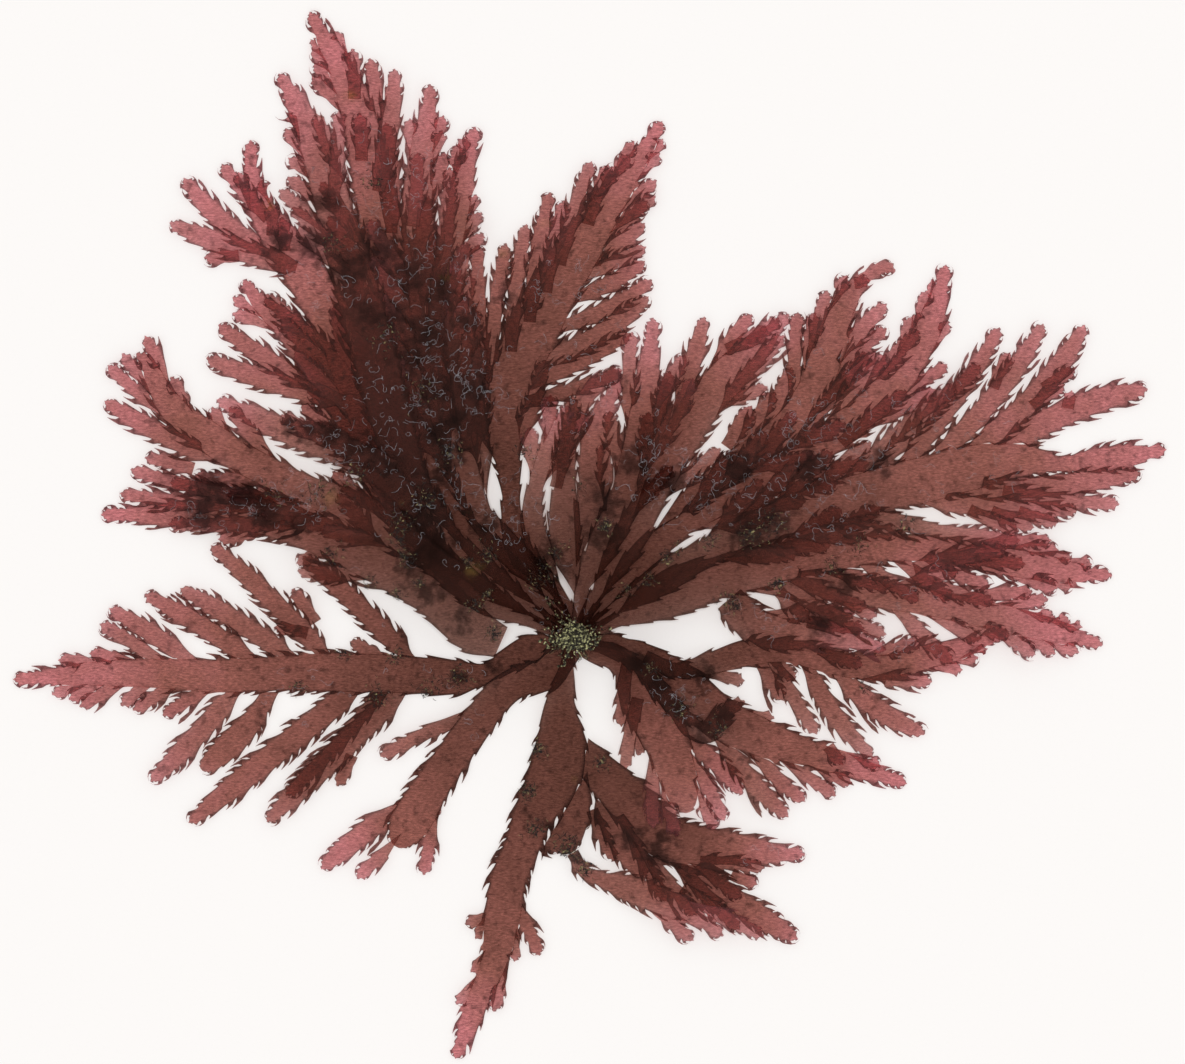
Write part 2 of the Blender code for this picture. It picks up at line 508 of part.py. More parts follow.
                (-15.5, 14.5, -24.8, 18.7, 1.7),
            ],
        },
    ],
}


def smooth_line(points, step):
    """The midline through the plan's points as (x, y, width), with points about a step apart."""
    knots = [Vector(point) for point in points]
    knots = [2 * knots[0] - knots[1], *knots, 2 * knots[-1] - knots[-2]]
    places = []
    for before, start, end, after in zip(knots, knots[1:], knots[2:], knots[3:]):
        count = max(1, round((end - start).xy.length / step))
        for index in range(count):
            t = index / count
            places.append(
                0.5 * (
                    2 * start
                    + (end - before) * t
                    + (2 * before - 5 * start + 4 * end - after) * t**2
                    + (3 * start - before - 3 * end + after) * t**3
                )
            )
    places.append(knots[-2])
    return places


def side_line(side, parent, step):
    """The bowed midline of a side blade: it leaves its parent steeply and bends towards the tip."""
    base = Vector(side[0:2])
    tip = Vector(side[2:4])
    width = side[4]
    bow = side[5] if len(side) > 5 else SIDE_BOW
    chord = tip - base
    nearest = min(range(len(parent) - 1), key=lambda index: (parent[index].xy - base).length)
    ahead = (parent[nearest + 1] - parent[nearest]).xy
    across = Vector((chord.y, -chord.x))
    if across.dot(ahead) > 0:
        across = -across
    bend = base + chord / 2 + across * bow
    start = base - (bend - base).normalized() * SIDE_SINK
    count = max(4, round(chord.length / step))
    places = []
    for index in range(count + 1):
        t = index / count
        place = start * (1 - t) ** 2 + 2 * bend * t * (1 - t) + tip * t**2
        opened = math.sin(min(t / SIDE_OPEN_AT, 1) * math.pi / 2)
        opening = SIDE_BASE_SHARE + (1 - SIDE_BASE_SHARE) * opened
        closed = max((t - SIDE_CLOSES_FROM) / (1 - SIDE_CLOSES_FROM), 0)
        closing = (1 - closed**2) ** SIDE_BLUNTNESS
        places.append(Vector((place.x, place.y, width * opening * closing)))
    return places


def fill_sides(line, fill, taken):
    """Plain side blades on both margins between two shares of a midline, where the plan gives none."""
    first, last, reach = fill
    sides = []
    travelled = 0.0
    for index in range(round(first * len(line)), round(last * len(line))):
        ahead = (line[index + 1] - line[index]).xy
        travelled += ahead.length
        if travelled < FILL_PITCH:
            continue
        travelled = 0.0
        ahead.normalize()
        for turn in (-1, 1):
            outward = Matrix.Rotation(turn * math.pi / 2, 2) @ ahead
            base = line[index].xy + outward * line[index].z / 2
            tip = base + Matrix.Rotation(turn * FILL_ANGLE, 2) @ ahead * reach
            if all((Vector(side[0:2]) - base).length > FILL_CLEAR for side in taken):
                sides.append((*base, *tip, FILL_WIDTH))
    return sides


def toothed_outline(line, chance):
    """The outline of a blade, counter-clockwise, with teeth that lean towards the tip."""
    right = []
    left = []
    for index, place in enumerate(line):
        before = line[max(index - 1, 0)]
        after = line[min(index + 1, len(line) - 1)]
        ahead = (after - before).xy.normalized()
        across = Vector((ahead.y, -ahead.x))
        for margin, turn in ((right, 1), (left, -1)):
            reach = 0.0
            if index % 2 and place.z > TOOTHED_FROM and place.xy.length > SMOOTH_WITHIN:
                reach = min(TOOTH_REACH, TOOTH_WIDTH_SHARE * place.z) * chance.uniform(*TOOTH_VARIES)
            point = place.xy + across * turn * (max(place.z, 0.0) / 2 + reach)
            margin.append(point + ahead * reach * TOOTH_LEAN / TOOTH_REACH)
    if line[-1].z < POINTED_BELOW:
        left.pop()
    return right + left[::-1]


def frond_outlines(branches, chance):
    """The outlines of every blade of a frond: each branch and the side blades on its margins."""
    outlines = []
    for branch in branches:
        line = smooth_line(branch["line"], TOOTH_PITCH / 2)
        outlines.append(toothed_outline(line, chance))
        sides = list(branch.get("sides", []))
        if "fill" in branch:
            sides += fill_sides(line, branch["fill"], sides)
        for side in sides:
            outlines.append(toothed_outline(side_line(side, line, SIDE_TOOTH_PITCH / 2), chance))
    return outlines


def oval(centre, radii, count):
    """A counter-clockwise ring of points."""
    turns = [2 * math.pi * index / count for index in range(count)]
    return [Vector((centre[0] + radii[0] * math.cos(a), centre[1] + radii[1] * math.sin(a))) for a in turns]


def rim_edges(triangles):
    """For each point on the rim of a triangulated sheet, the points that follow it along the rim."""
    directed = {(t[i], t[(i + 1) % 3]) for t in triangles for i in range(3)}
    following = {}
    for start, end in sorted(directed):
        if (end, start) not in directed:
            following.setdefault(start, []).append(end)
    return following


def joined_loops(outlines, hollow):
    """The rim loops of overlapping outlines joined into one sheet, less what lies inside the hollow."""
    rings = [*outlines, hollow]
    starts = np.cumsum([0, *map(len, rings)])
    faces = [list(range(start, end)) for start, end in zip(starts, starts[1:])]
    flat = [point for ring in rings for point in ring]
    points, _, triangles, _, _, origins = delaunay_2d_cdt(flat, [], faces, 0, JOIN_WITHIN, True)
    kept = [t for t, origin in zip(triangles, origins) if origin and len(outlines) not in origin]
    following = rim_edges(kept)
    pinched = [points[start] for start, ends in following.items() if len(ends) > 1]
    if pinched:
        patches = [oval(point, (PINCH_PATCH, PINCH_PATCH), PATCH_CORNERS) for point in pinched]
        return joined_loops([*outlines, *patches], hollow)
    loops = []
    while following:
        start = next(iter(following))
        loop = [start]
        while following[loop[-1]][0] != start:
            loop.append(following[loop[-1]][0])
        for index in loop:
            del following[index]
        loops.append(eased_loop([points[index] for index in loop]))
    return [loop for loop in loops if len(loop) > 2 and abs(loop_area(loop)) > SMALLEST_GAP]


def loop_area(loop):
    """The area inside a loop, negative for one that runs clockwise."""
    return sum(a.cross(b) for a, b in zip(loop, loop[1:] + loop[:1])) / 2


def eased_loop(loop):
    """The loop without points that hardly change it."""
    loop = list(loop)
    index = 0
    while index < len(loop) and len(loop) > 3:
        before = loop[index - 1]
        after = loop[(index + 1) % len(loop)]
        here = loop[index]
        chord = after - before
        off_line = abs(chord.cross(here - before)) / max(chord.length, 1e-6)
        if off_line < EASE_WITHIN or (here - before).length < SHORTEST_EDGE:
            loop.pop(index)
            index = max(index - 1, 0)
        else:
            index += 1
    return loop


def inside(points, loop):
    """Whether each point lies inside the edges of a loop, given as pairs of ends."""
    x, y = points[:, 0:1], points[:, 1:2]
    starts, ends = loop[:, 0], loop[:, 1]
    spans = (starts[:, 1] > y) != (ends[:, 1] > y)
    rise = np.where(ends[:, 1] == starts[:, 1], 1.0, ends[:, 1] - starts[:, 1])
    crossing = starts[:, 0] + (y - starts[:, 1]) * (ends[:, 0] - starts[:, 0]) / rise
    return (spans & (x < crossing)).sum(axis=1) % 2 == 1


def sheet_of(loops):
    """The points and triangles of the sheet that the largest loop bounds, with its gaps left open."""
    outer = max(loops, key=loop_area)
    outer_edges = np.array(list(zip(outer, outer[1:] + outer[:1])))
    gaps = [loop for loop in loops if loop_area(loop) < 0 and inside(np.array(loop[:1]), outer_edges)[0]]
    points = []
    edges = []
    for loop in [outer, *gaps]:
        first = len(points)
        points += loop
        edges += [(first + i, first + (i + 1) % len(loop)) for i in range(len(loop))]
    points, edges, triangles, _, origins, _ = delaunay_2d_cdt(points, edges, [], 0, JOIN_WITHIN, True)
    places = np.array([tuple(point) for point in points])
    triangles = np.array(triangles)
    rim = np.array([edge for edge, origin in zip(edges, origins) if origin])
    return places, triangles[inside(places[triangles].mean(axis=1), places[rim])]


def sheet_samples(triangles, places):
    """Points spread over every triangle, as their three corners and the share of each."""
    corners = []
    shares = []
    for triangle in triangles:
        sides = places[triangle] - places[np.roll(triangle, 1)]
        count = math.ceil(np.hypot(*sides.T).max() / SAMPLE_PITCH)
        steps = [(i, j, count - i - j) for i in range(count + 1) for j in range(count + 1 - i)]
        shares.append(np.array(steps) / count)
        corners.append(np.repeat([triangle], len(steps), axis=0))
    return np.concatenate(corners), np.concatenate(shares)


def cells_of(places):
    """The grid cell that each place falls in."""
    return tuple(np.round((places - np.array(GRID_LOW)) / GRID_CELL).astype(int).T)


def shifted(heights, fall):
    """The heights raised to those of the cells around, less the fall from one cell to the next."""
    raised = heights
    for across in (-1, 0, 1):
        for along in (-1, 0, 1):
            drop = fall * math.hypot(across, along)
            raised = np.maximum(raised, np.roll(heights, (across, along), (0, 1)) - drop)
    return raised


def draped(ground):
    """The ground as a sheet sees it that can't bend more steeply than the drape."""
    while True:
        raised = shifted(ground, STEEPEST_DRAPE * GRID_CELL)
        if (raised - ground).max() < SETTLED_WITHIN:
            return raised
        ground = raised


def settled_heights(places, corners, shares, ground):
    """How high each point of a sheet lies once it rests on the ground, clear of it everywhere."""
    needed = ground[cells_of((places[corners] * shares[:, :, None]).sum(axis=1))]
    heights = draped(ground)[cells_of(places)]
    even = shares / (shares**2).sum(axis=1, keepdims=True)
    full = (shares > 0).astype(float)
    for spread in [even] * SETTLE_ROUNDS + [full]:
        short = np.maximum(needed - (heights[corners] * shares).sum(axis=1), 0)
        if short.max() < SETTLED_WITHIN:
            break
        lift = np.zeros(len(places))
        np.maximum.at(lift, corners, short[:, None] * spread)
        heights = heights + lift
    return heights


def with_layer(ground, places, corners, shares, heights):
    """The ground with a settled sheet and the gap above it added."""
    layer = np.zeros_like(ground)
    tops = (heights[corners] * shares).sum(axis=1) + BLADE_THICKNESS + LAYER_GAP
    np.maximum.at(layer, cells_of((places[corners] * shares[:, :, None]).sum(axis=1)), tops)
    return np.maximum(ground, shifted(layer, 0.0))


def add_object(name, shape, material):
    """A named object that holds the finished shape."""
    bmesh.ops.recalc_face_normals(shape, faces=shape.faces)
    mesh = bpy.data.meshes.new(name)
    shape.to_mesh(mesh)
    shape.free()
    mesh.materials.append(material)
    bpy.context.scene.collection.objects.link(bpy.data.objects.new(name, mesh))


def make_material(name, colour):
    """A plain material for one piece."""
    material = bpy.data.materials.new(name)
    material.use_nodes = True
    shader = material.node_tree.nodes["Principled BSDF"]
    shader.inputs["Base Color"].default_value = colour
    shader.inputs["Roughness"].default_value = ROUGHNESS
    return material


def make_frond(name, places, triangles, heights):
    """The closed solid of a frond: its settled sheet, raised by the thickness of the blade."""
    shape = bmesh.new()
    corners = [shape.verts.new((x * MM, y * MM, z * MM)) for (x, y), z in zip(places, heights)]
    faces = [shape.faces.new([corners[index] for index in triangle]) for triangle in triangles.tolist()]
    raised = bmesh.ops.extrude_face_region(shape, geom=faces, use_keep_orig=True)["geom"]
    upper = [item for item in raised if isinstance(item, bmesh.types.BMVert)]
    bmesh.ops.translate(shape, verts=upper, vec=(0.0, 0.0, BLADE_THICKNESS * MM))
    add_object(name, shape, make_material(name, FROND_COLOUR))


def make_holdfast():
    """The rooting tuft: a small lobed mound with a flat underside."""
    shape = bmesh.new()
    count = 2 * HOLDFAST_LOBES
    rings = []
    for share, height in HOLDFAST_RINGS:
        ring = []
        for index in range(count):
            turn = 2 * math.pi * index / count
            lobe = 1 - LOBE_DEPTH * (index % 2)
            x = HOLDFAST_RADII[0] * share * lobe * math.cos(turn)
            y = HOLDFAST_RADII[1] * share * lobe * math.sin(turn)
            ring.append(shape.verts.new((x * MM, y * MM, height * MM)))
        rings.append(ring)
    for lower, upper in zip(rings, rings[1:]):
        for index in range(count):
            following = (index + 1) % count
            shape.faces.new((lower[index], lower[following], upper[following], upper[index]))
    shape.faces.new(rings[0][::-1])
    shape.faces.new(rings[-1])
    add_object("holdfast", shape, make_material("holdfast", HOLDFAST_COLOUR))


def main():
    for leftover in list(bpy.data.objects):
        bpy.data.objects.remove(leftover, do_unlink=True)
    make_holdfast()
    chance = random.Random(SEED)
    hollow = oval((0.0, 0.0), [radius + LAYER_GAP for radius in HOLDFAST_RADII], 4 * HOLDFAST_LOBES)
    size = [round((high - low) / GRID_CELL) for low, high in zip(GRID_LOW, GRID_HIGH)]
    ground = np.zeros(size)
    for name, branches in FRONDS.items():
        places, triangles = sheet_of(joined_loops(frond_outlines(branches, chance), hollow))
        corners, shares = sheet_samples(triangles, places)
        heights = settled_heights(places, corners, shares, ground)
        ground = with_layer(ground, places, corners, shares, heights)
        make_frond(name, places, triangles, heights)


main()
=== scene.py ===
"""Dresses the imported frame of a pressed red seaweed: thin toothed fronds that let the light through, the
rooting tuft, the growths on its old margins, the lint that lies on it, and its stage.

The frame is in metres. The plan of the fronds is in millimetres from the middle of the holdfast.
"""

import math
import random
from functools import partial

import bmesh
import bpy
import numpy as np
from mathutils import Matrix, Vector, noise
from mathutils.bvhtree import BVHTree


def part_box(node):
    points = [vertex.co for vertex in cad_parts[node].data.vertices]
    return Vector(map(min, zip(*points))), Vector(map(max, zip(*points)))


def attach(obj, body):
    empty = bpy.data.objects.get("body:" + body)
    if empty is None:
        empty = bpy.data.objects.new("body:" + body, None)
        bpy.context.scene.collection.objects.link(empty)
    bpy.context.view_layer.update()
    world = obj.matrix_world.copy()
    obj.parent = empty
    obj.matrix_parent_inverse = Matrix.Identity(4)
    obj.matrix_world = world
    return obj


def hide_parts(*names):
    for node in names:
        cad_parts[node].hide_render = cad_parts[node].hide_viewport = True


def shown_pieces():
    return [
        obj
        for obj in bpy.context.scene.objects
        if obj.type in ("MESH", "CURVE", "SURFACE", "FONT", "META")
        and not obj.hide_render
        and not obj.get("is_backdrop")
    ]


bl_info = {
    "name": "Pressed red seaweed",
    "version": (1, 0, 0),
    "blender": (4, 5, 0),
    "location": "3D View > Sidebar > Seaweed",
    "description": "Dresses the frame of a pressed red seaweed and sets its stage",
    "category": "Object",
}

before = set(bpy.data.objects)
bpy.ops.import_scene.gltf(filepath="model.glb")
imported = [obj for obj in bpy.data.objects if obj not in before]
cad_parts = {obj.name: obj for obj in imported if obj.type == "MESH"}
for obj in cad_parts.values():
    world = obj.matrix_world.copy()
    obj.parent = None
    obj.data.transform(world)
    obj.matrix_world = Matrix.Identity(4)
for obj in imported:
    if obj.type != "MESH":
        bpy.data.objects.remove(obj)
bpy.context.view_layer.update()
MM = 0.001
SEED = 7

# The plan of the fronds. It is that of the solids, but these are the thin blades' own: most of the fills,
# the stub and the last side blade of frond_south, three side blades and the lower branch's start of
# frond_east_2, and a bend each of frond_east_1 and frond_west_northwest_2. Each frond is one or more
# branches, and the fronds that lie underneath come first. A branch has
#   line: its midline from base to tip as (x, y, width), with a width of 0 at a pointed tip,
#   sides: its side blades as (base x, base y, tip x, tip y, width). A sixth number is how far the blade
#       bows away from the parent's tip, as a share of its length, where SIDE_BOW doesn't fit,
#   fill: shares of the midline between which plain side blades fill both margins, and their reach.
FRONDS = {
    "frond_west": [{
        "line": [
            (-1.9, -0.5, 1.2), (-4.0, -1.1, 2.4), (-7.4, -3.0, 1.7), (-10.0, -3.4, 2.9),
            (-14.0, -3.2, 3.1), (-20.0, -3.0, 3.3), (-25.0, -3.1, 2.9), (-30.0, -3.3, 2.8),
            (-35.0, -3.1, 2.5), (-40.0, -3.1, 2.1), (-44.0, -3.35, 1.4), (-47.4, -3.6, 0.0),
        ],
        "sides": [
            (-14.2, -1.2, -23.0, 6.8, 1.8), (-21.4, -1.0, -30.7, 7.7, 1.8),
            (-24.2, -1.3, -33.3, 4.1, 1.8), (-27.4, -1.8, -36.3, 3.6, 1.8),
            (-32.6, -1.8, -39.3, 2.4, 1.7), (-35.3, -1.8, -40.1, 1.1, 1.3),
            (-38.0, -2.1, -41.0, -1.4, 0.9), (-40.8, -2.2, -43.6, -2.0, 0.5),
            (-22.1, 1.6, -23.9, 4.0, 0.5), (-23.0, 0.4, -25.4, 0.8, 0.6), (-16.9, -1.6, -19.0, -0.4, 0.6),
            (-15.0, -5.0, -26.0, -15.6, 2.2, 0.0), (-18.9, -4.9, -32.6, -15.7, 2.2, 0.0),
            (-16.5, -5.0, -24.4, -13.4, 1.3), (-28.7, -4.9, -35.8, -12.2, 1.9),
            (-31.6, -4.8, -34.8, -6.6, 1.1), (-34.6, -4.5, -37.3, -6.2, 1.0),
            (-36.6, -4.5, -38.3, -5.8, 0.6), (-39.0, -4.3, -41.8, -5.9, 0.8),
            (-40.6, -4.3, -42.7, -5.3, 0.5), (-42.3, -4.1, -44.1, -4.9, 0.5),
            (-19.0, -10.4, -20.1, -12.6, 0.45),
        ],
    }, {
        "line": [(-25.6, -4.4, 0.8), (-27.2, -7.0, 1.8), (-29.3, -9.3, 2.2), (-31.5, -11.2, 1.4)],
    }],
    "frond_southwest": [{
        "line": [
            (-1.2, -1.7, 0.5), (-2.5, -3.2, 0.6), (-4.6, -3.7, 0.8), (-6.4, -4.9, 1.9), (-8.0, -6.9, 2.8),
            (-10.0, -9.6, 2.8), (-12.0, -12.5, 3.0), (-13.7, -15.3, 3.4), (-15.1, -17.7, 2.7),
        ],
        "sides": [
            (-9.2, -7.6, -16.4, -10.1, 1.1), (-14.6, -15.2, -21.4, -19.6, 2.0),
            (-16.1, -17.1, -18.4, -20.4, 0.9), (-12.4, -15.8, -12.8, -20.1, 0.8),
            (-12.0, -14.3, -11.4, -15.0, 0.2),
        ],
    }],
    "frond_south": [{
        "line": [
            (-0.6, -1.7, 0.9), (-0.8, -3.2, 1.5), (-1.3, -6.0, 2.7), (-1.2, -9.0, 4.2),
            (-1.9, -12.0, 4.4), (-3.5, -15.0, 3.4), (-4.4, -17.5, 3.0), (-5.6, -20.5, 3.0),
            (-6.2, -24.0, 3.0), (-6.7, -27.0, 2.3), (-7.9, -30.0, 1.9), (-9.1, -33.0, 1.6),
            (-10.1, -35.6, 0.0),
        ],
        "sides": [
            (-4.4, -23.5, -3.0, -26.9, 0.6), (-5.1, -25.6, -5.1, -27.4, 0.5),
            (-7.4, -23.7, -9.3, -24.2, 0.35), (-7.4, -24.4, -8.4, -25.5, 0.5),
            (-6.6, -28.2, -6.9, -31.6, 0.8), (-8.5, -29.6, -10.0, -31.0, 0.5),
            (-7.5, -27.6, -8.8, -28.3, 0.25),
        ],
    }, {
        "line": [(-1.1, -11.2, 3.0), (-0.9, -13.6, 4.4), (-0.6, -16.0, 4.2), (-0.5, -18.3, 2.2)],
    }, {
        "line": [
            (0.0, -9.4, 2.6), (2.3, -11.6, 3.2), (4.7, -14.0, 3.8), (7.4, -16.8, 3.8), (10.5, -17.6, 3.3),
            (14.0, -17.9, 2.5), (17.0, -18.3, 1.6), (19.4, -18.3, 0.0),
        ],
        "sides": [
            (11.0, -19.0, 16.0, -19.5, 1.0), (9.0, -19.4, 18.8, -25.5, 2.3),
            (8.6, -19.6, 13.9, -24.7, 1.4), (5.6, -18.0, 10.3, -23.5, 1.4), (4.6, -17.4, 7.9, -22.4, 1.0),
            (10.4, -20.0, 14.1, -22.0, 1.2), (9.4, -21.4, 12.3, -23.2, 0.8),
            (13.6, -20.2, 15.4, -20.9, 0.5), (1.6, -15.0, 3.4, -18.9, 1.3), (2.9, -13.8, 6.0, -20.3, 2.6),
        ],
    }],
    "frond_south_knot": [{
        "line": [
            (-0.2, -18.2, 0.9), (0.8, -19.8, 0.9), (2.4, -20.5, 1.3), (4.2, -21.1, 2.1),
            (6.6, -22.0, 2.3), (9.5, -23.2, 1.9), (12.5, -25.2, 0.0),
        ],
        "sides": [(7.4, -23.3, 10.0, -25.6, 1.0), (10.4, -22.9, 15.9, -25.2, 1.5)],
    }],
    "frond_southeast_1": [{
        "line": [
            (1.6, -1.2, 0.7), (3.6, -2.0, 1.0), (5.3, -4.2, 2.6), (7.4, -8.0, 3.3), (8.5, -11.2, 3.3),
            (9.5, -14.8, 2.0),
        ],
        "sides": [
            (4.4, -2.4, 3.9, -7.6, 1.0), (5.2, -5.6, 4.2, -11.2, 1.1), (7.2, -10.6, 6.6, -16.1, 1.2),
            (7.9, -13.0, 8.6, -16.8, 1.0), (9.2, -9.0, 14.1, -13.3, 1.6, 0.1),
            (9.8, -10.8, 12.6, -15.5, 1.3), (10.1, -13.4, 11.8, -16.3, 0.8),
            (6.4, -8.6, 5.3, -10.0, 0.25),
        ],
    }],
    "frond_southeast_2": [{
        "line": [
            (2.1, -0.3, 0.5), (3.8, -0.5, 0.6), (5.4, -1.4, 1.3), (7.4, -3.2, 2.4), (9.6, -4.9, 3.4),
            (12.5, -7.0, 3.5), (16.0, -8.6, 3.2), (20.0, -9.9, 2.2), (24.0, -11.1, 1.9),
            (28.0, -12.4, 0.0),
        ],
        "sides": [
            (12.5, -9.0, 18.0, -15.2, 1.7, 0.08), (15.4, -10.1, 19.4, -13.9, 1.4, 0.08),
            (18.3, -10.7, 22.0, -13.4, 1.2), (21.0, -11.1, 23.4, -12.4, 0.5),
            (21.6, -9.6, 22.6, -10.8, 0.6), (15.3, -6.8, 16.8, -6.9, 0.35),
            (24.0, -10.5, 25.8, -10.9, 0.4),
        ],
    }],
    "frond_east_low": [{
        "line": [
            (5.9, -1.6, 1.0), (8.5, -2.8, 1.3), (11.5, -2.2, 1.9), (14.5, -1.4, 2.2), (18.0, -1.2, 2.0),
            (22.0, -2.2, 2.1), (26.0, -2.6, 2.2), (30.0, -1.6, 2.1), (33.0, -0.9, 1.6), (36.5, 0.5, 0.0),
        ],
        "sides": [
            (15.7, -2.2, 17.6, -5.4, 1.2), (16.8, -2.1, 20.4, -8.2, 1.4), (17.2, -2.0, 18.6, -3.7, 0.6),
            (19.6, -2.8, 25.1, -10.1, 1.7, 0.12), (22.3, -3.3, 29.5, -8.2, 1.9, 0.12),
            (25.2, -3.5, 30.1, -3.8, 1.1), (30.7, -2.3, 32.7, -2.8, 0.5), (32.3, -1.7, 34.0, -1.7, 0.5),
            (33.5, -1.2, 34.8, -1.0, 0.4), (11.8, -3.0, 14.3, -3.7, 0.6), (21.0, -1.2, 24.3, -2.4, 0.9),
            (25.5, -1.8, 29.3, -0.4, 0.8),
        ],
    }],
    "frond_folded_strap": [{
        "line": [
            (2.6, -1.0, 0.8), (4.6, -1.9, 1.0), (6.6, -3.6, 1.2), (8.2, -5.6, 1.4), (9.5, -7.3, 1.7),
            (10.7, -8.0, 1.8), (12.0, -7.2, 1.6), (13.2, -5.9, 1.2), (14.3, -5.4, 0.4),
        ],
    }],
    "frond_east_mid": [{
        "line": [
            (13.0, 3.2, 2.6), (14.6, 1.4, 2.9), (17.0, 0.3, 2.8), (20.0, 0.3, 2.4), (23.0, -0.1, 1.8),
            (26.2, -1.1, 0.0),
        ],
        "sides": [(20.0, 1.2, 24.4, 0.7, 1.2), (16.8, 1.6, 23.6, 1.9, 1.6)],
    }],
    "frond_east_2": [{
        "line": [
            (2.3, 0.85, 0.35), (4.6, 1.9, 1.3), (7.0, 3.2, 2.4), (10.0, 4.4, 3.2), (14.0, 5.5, 3.6),
            (18.0, 6.4, 3.2), (22.0, 7.0, 2.8), (26.0, 7.5, 2.4), (30.0, 7.4, 2.2), (34.0, 6.8, 2.3),
            (38.0, 6.1, 2.4), (42.0, 5.4, 1.8), (45.3, 5.2, 0.0),
        ],
        "sides": [
            (34.6, 7.7, 40.2, 8.1, 0.9), (37.3, 7.2, 40.8, 7.3, 0.5), (39.8, 6.7, 41.9, 6.6, 0.4),
            (41.9, 6.1, 43.6, 6.1, 0.3), (37.6, 5.1, 40.7, 4.1, 0.7), (40.4, 4.8, 42.0, 4.2, 0.4),
            (31.0, 6.6, 38.0, 6.1, 1.1), (29.0, 5.9, 36.4, 7.4, 1.6), (24.5, 6.8, 29.0, 3.0, 1.2),
            (27.4, 6.6, 31.9, 3.1, 1.2), (30.4, 6.3, 35.0, 4.2, 1.4), (18.6, 5.6, 24.6, 2.4, 1.2),
        ],
        "fill": (0.35, 0.65, 5.0),
    }, {
        "line": [
            (15.2, 4.4, 1.8), (18.0, 4.4, 2.4), (22.0, 4.2, 2.4), (26.0, 3.5, 2.3), (30.0, 2.9, 2.3),
            (34.0, 2.0, 2.3), (38.0, 1.1, 2.3), (41.5, 0.2, 1.8), (44.5, -0.7, 0.0),
        ],
        "sides": [
            (19.2, 3.4, 26.2, 0.2, 1.2), (23.0, 3.0, 25.4, 1.7, 0.9), (27.4, 2.3, 31.8, -2.2, 1.5),
            (30.8, 1.9, 34.2, -0.2, 1.0), (33.6, 1.0, 36.6, 0.1, 0.9), (35.9, 0.4, 38.8, -1.5, 0.9),
            (38.8, -0.1, 40.5, -1.4, 0.6), (40.5, -0.4, 42.5, -1.3, 0.5), (33.5, 3.1, 38.6, 3.8, 1.0),
            (36.5, 2.5, 39.9, 3.2, 0.7), (38.3, 2.1, 40.5, 1.6, 0.4), (39.8, 1.5, 41.8, 1.2, 0.4),
            (41.2, 1.0, 42.8, 0.8, 0.35), (30.5, 4.3, 35.3, 2.9, 1.1), (17.5, 3.5, 19.8, 1.4, 0.9),
        ],
        "fill": (0.3, 0.6, 4.5),
    }],
    "frond_northeast": [{
        "line": [
            (1.6, 1.9, 0.35), (3.6, 4.3, 0.9), (6.2, 7.2, 1.4), (9.6, 9.7, 1.8), (14.0, 12.2, 2.4),
            (19.0, 15.2, 2.8), (23.5, 18.2, 2.9), (26.8, 21.3, 2.8), (29.2, 24.8, 2.4), (30.5, 28.0, 1.8),
            (31.3, 31.4, 0.0),
        ],
        "sides": [
            (27.8, 21.2, 31.4, 23.0, 1.0), (30.0, 25.0, 31.4, 26.7, 0.6), (25.6, 18.9, 30.4, 20.9, 1.1),
            (22.8, 16.6, 28.0, 20.7, 1.3), (25.2, 20.9, 29.0, 25.8, 1.5), (28.2, 24.5, 28.4, 27.0, 0.6),
            (28.9, 26.0, 29.1, 27.4, 0.4), (29.4, 27.0, 29.7, 29.2, 0.5), (22.3, 18.6, 26.3, 23.8, 1.3),
            (19.5, 16.6, 24.8, 24.0, 1.4), (30.2, 29.0, 30.2, 30.2, 0.3),
        ],
        "fill": (0.25, 0.6, 5.5),
    }, {
        "line": [
            (5.0, 5.9, 1.0), (6.6, 8.0, 1.2), (9.2, 11.0, 1.8), (13.3, 14.3, 2.4), (17.3, 17.2, 2.6),
            (19.9, 20.5, 2.7), (21.3, 24.0, 2.8), (22.3, 27.0, 2.4), (23.4, 29.2, 1.7), (24.9, 30.6, 0.9),
            (26.1, 31.2, 0.9), (27.0, 30.8, 0.5),
        ],
        "sides": [
            (18.8, 20.6, 18.8, 27.4, 1.2), (20.6, 24.3, 21.3, 29.2, 0.9), (19.7, 23.5, 20.2, 27.4, 1.2),
            (22.2, 28.0, 22.9, 30.5, 0.6), (22.8, 24.0, 26.3, 28.1, 1.6, -0.06),
            (22.0, 21.8, 26.3, 26.0, 1.4, -0.08), (20.8, 19.8, 25.4, 24.0, 1.4),
            (23.2, 27.9, 23.9, 28.2, 0.3), (24.0, 29.9, 24.9, 30.1, 0.3),
        ],
        "fill": (0.2, 0.6, 5.0),
    }],
    "frond_north": [{
        "line": [
            (-0.6, 2.35, 0.35), (-2.2, 4.6, 0.7), (-4.6, 7.2, 0.9), (-5.3, 9.8, 1.1), (-5.5, 13.5, 1.8),
            (-6.0, 17.5, 2.8), (-5.6, 21.0, 3.6), (-4.0, 25.0, 4.4), (-2.0, 29.0, 4.2), (0.2, 32.5, 3.8),
            (2.4, 36.0, 3.0), (4.6, 39.2, 2.0), (6.2, 41.6, 1.3), (7.35, 43.5, 0.0),
        ],
        "sides": [
            (-7.2, 20.5, -8.2, 33.1, 1.5), (-6.6, 22.0, -5.8, 33.2, 1.4), (-5.4, 24.5, -4.1, 34.8, 1.4),
            (-3.8, 27.0, -2.1, 37.5, 1.5), (-2.4, 29.5, -0.9, 36.8, 1.1), (-1.2, 31.8, 1.4, 40.1, 1.4),
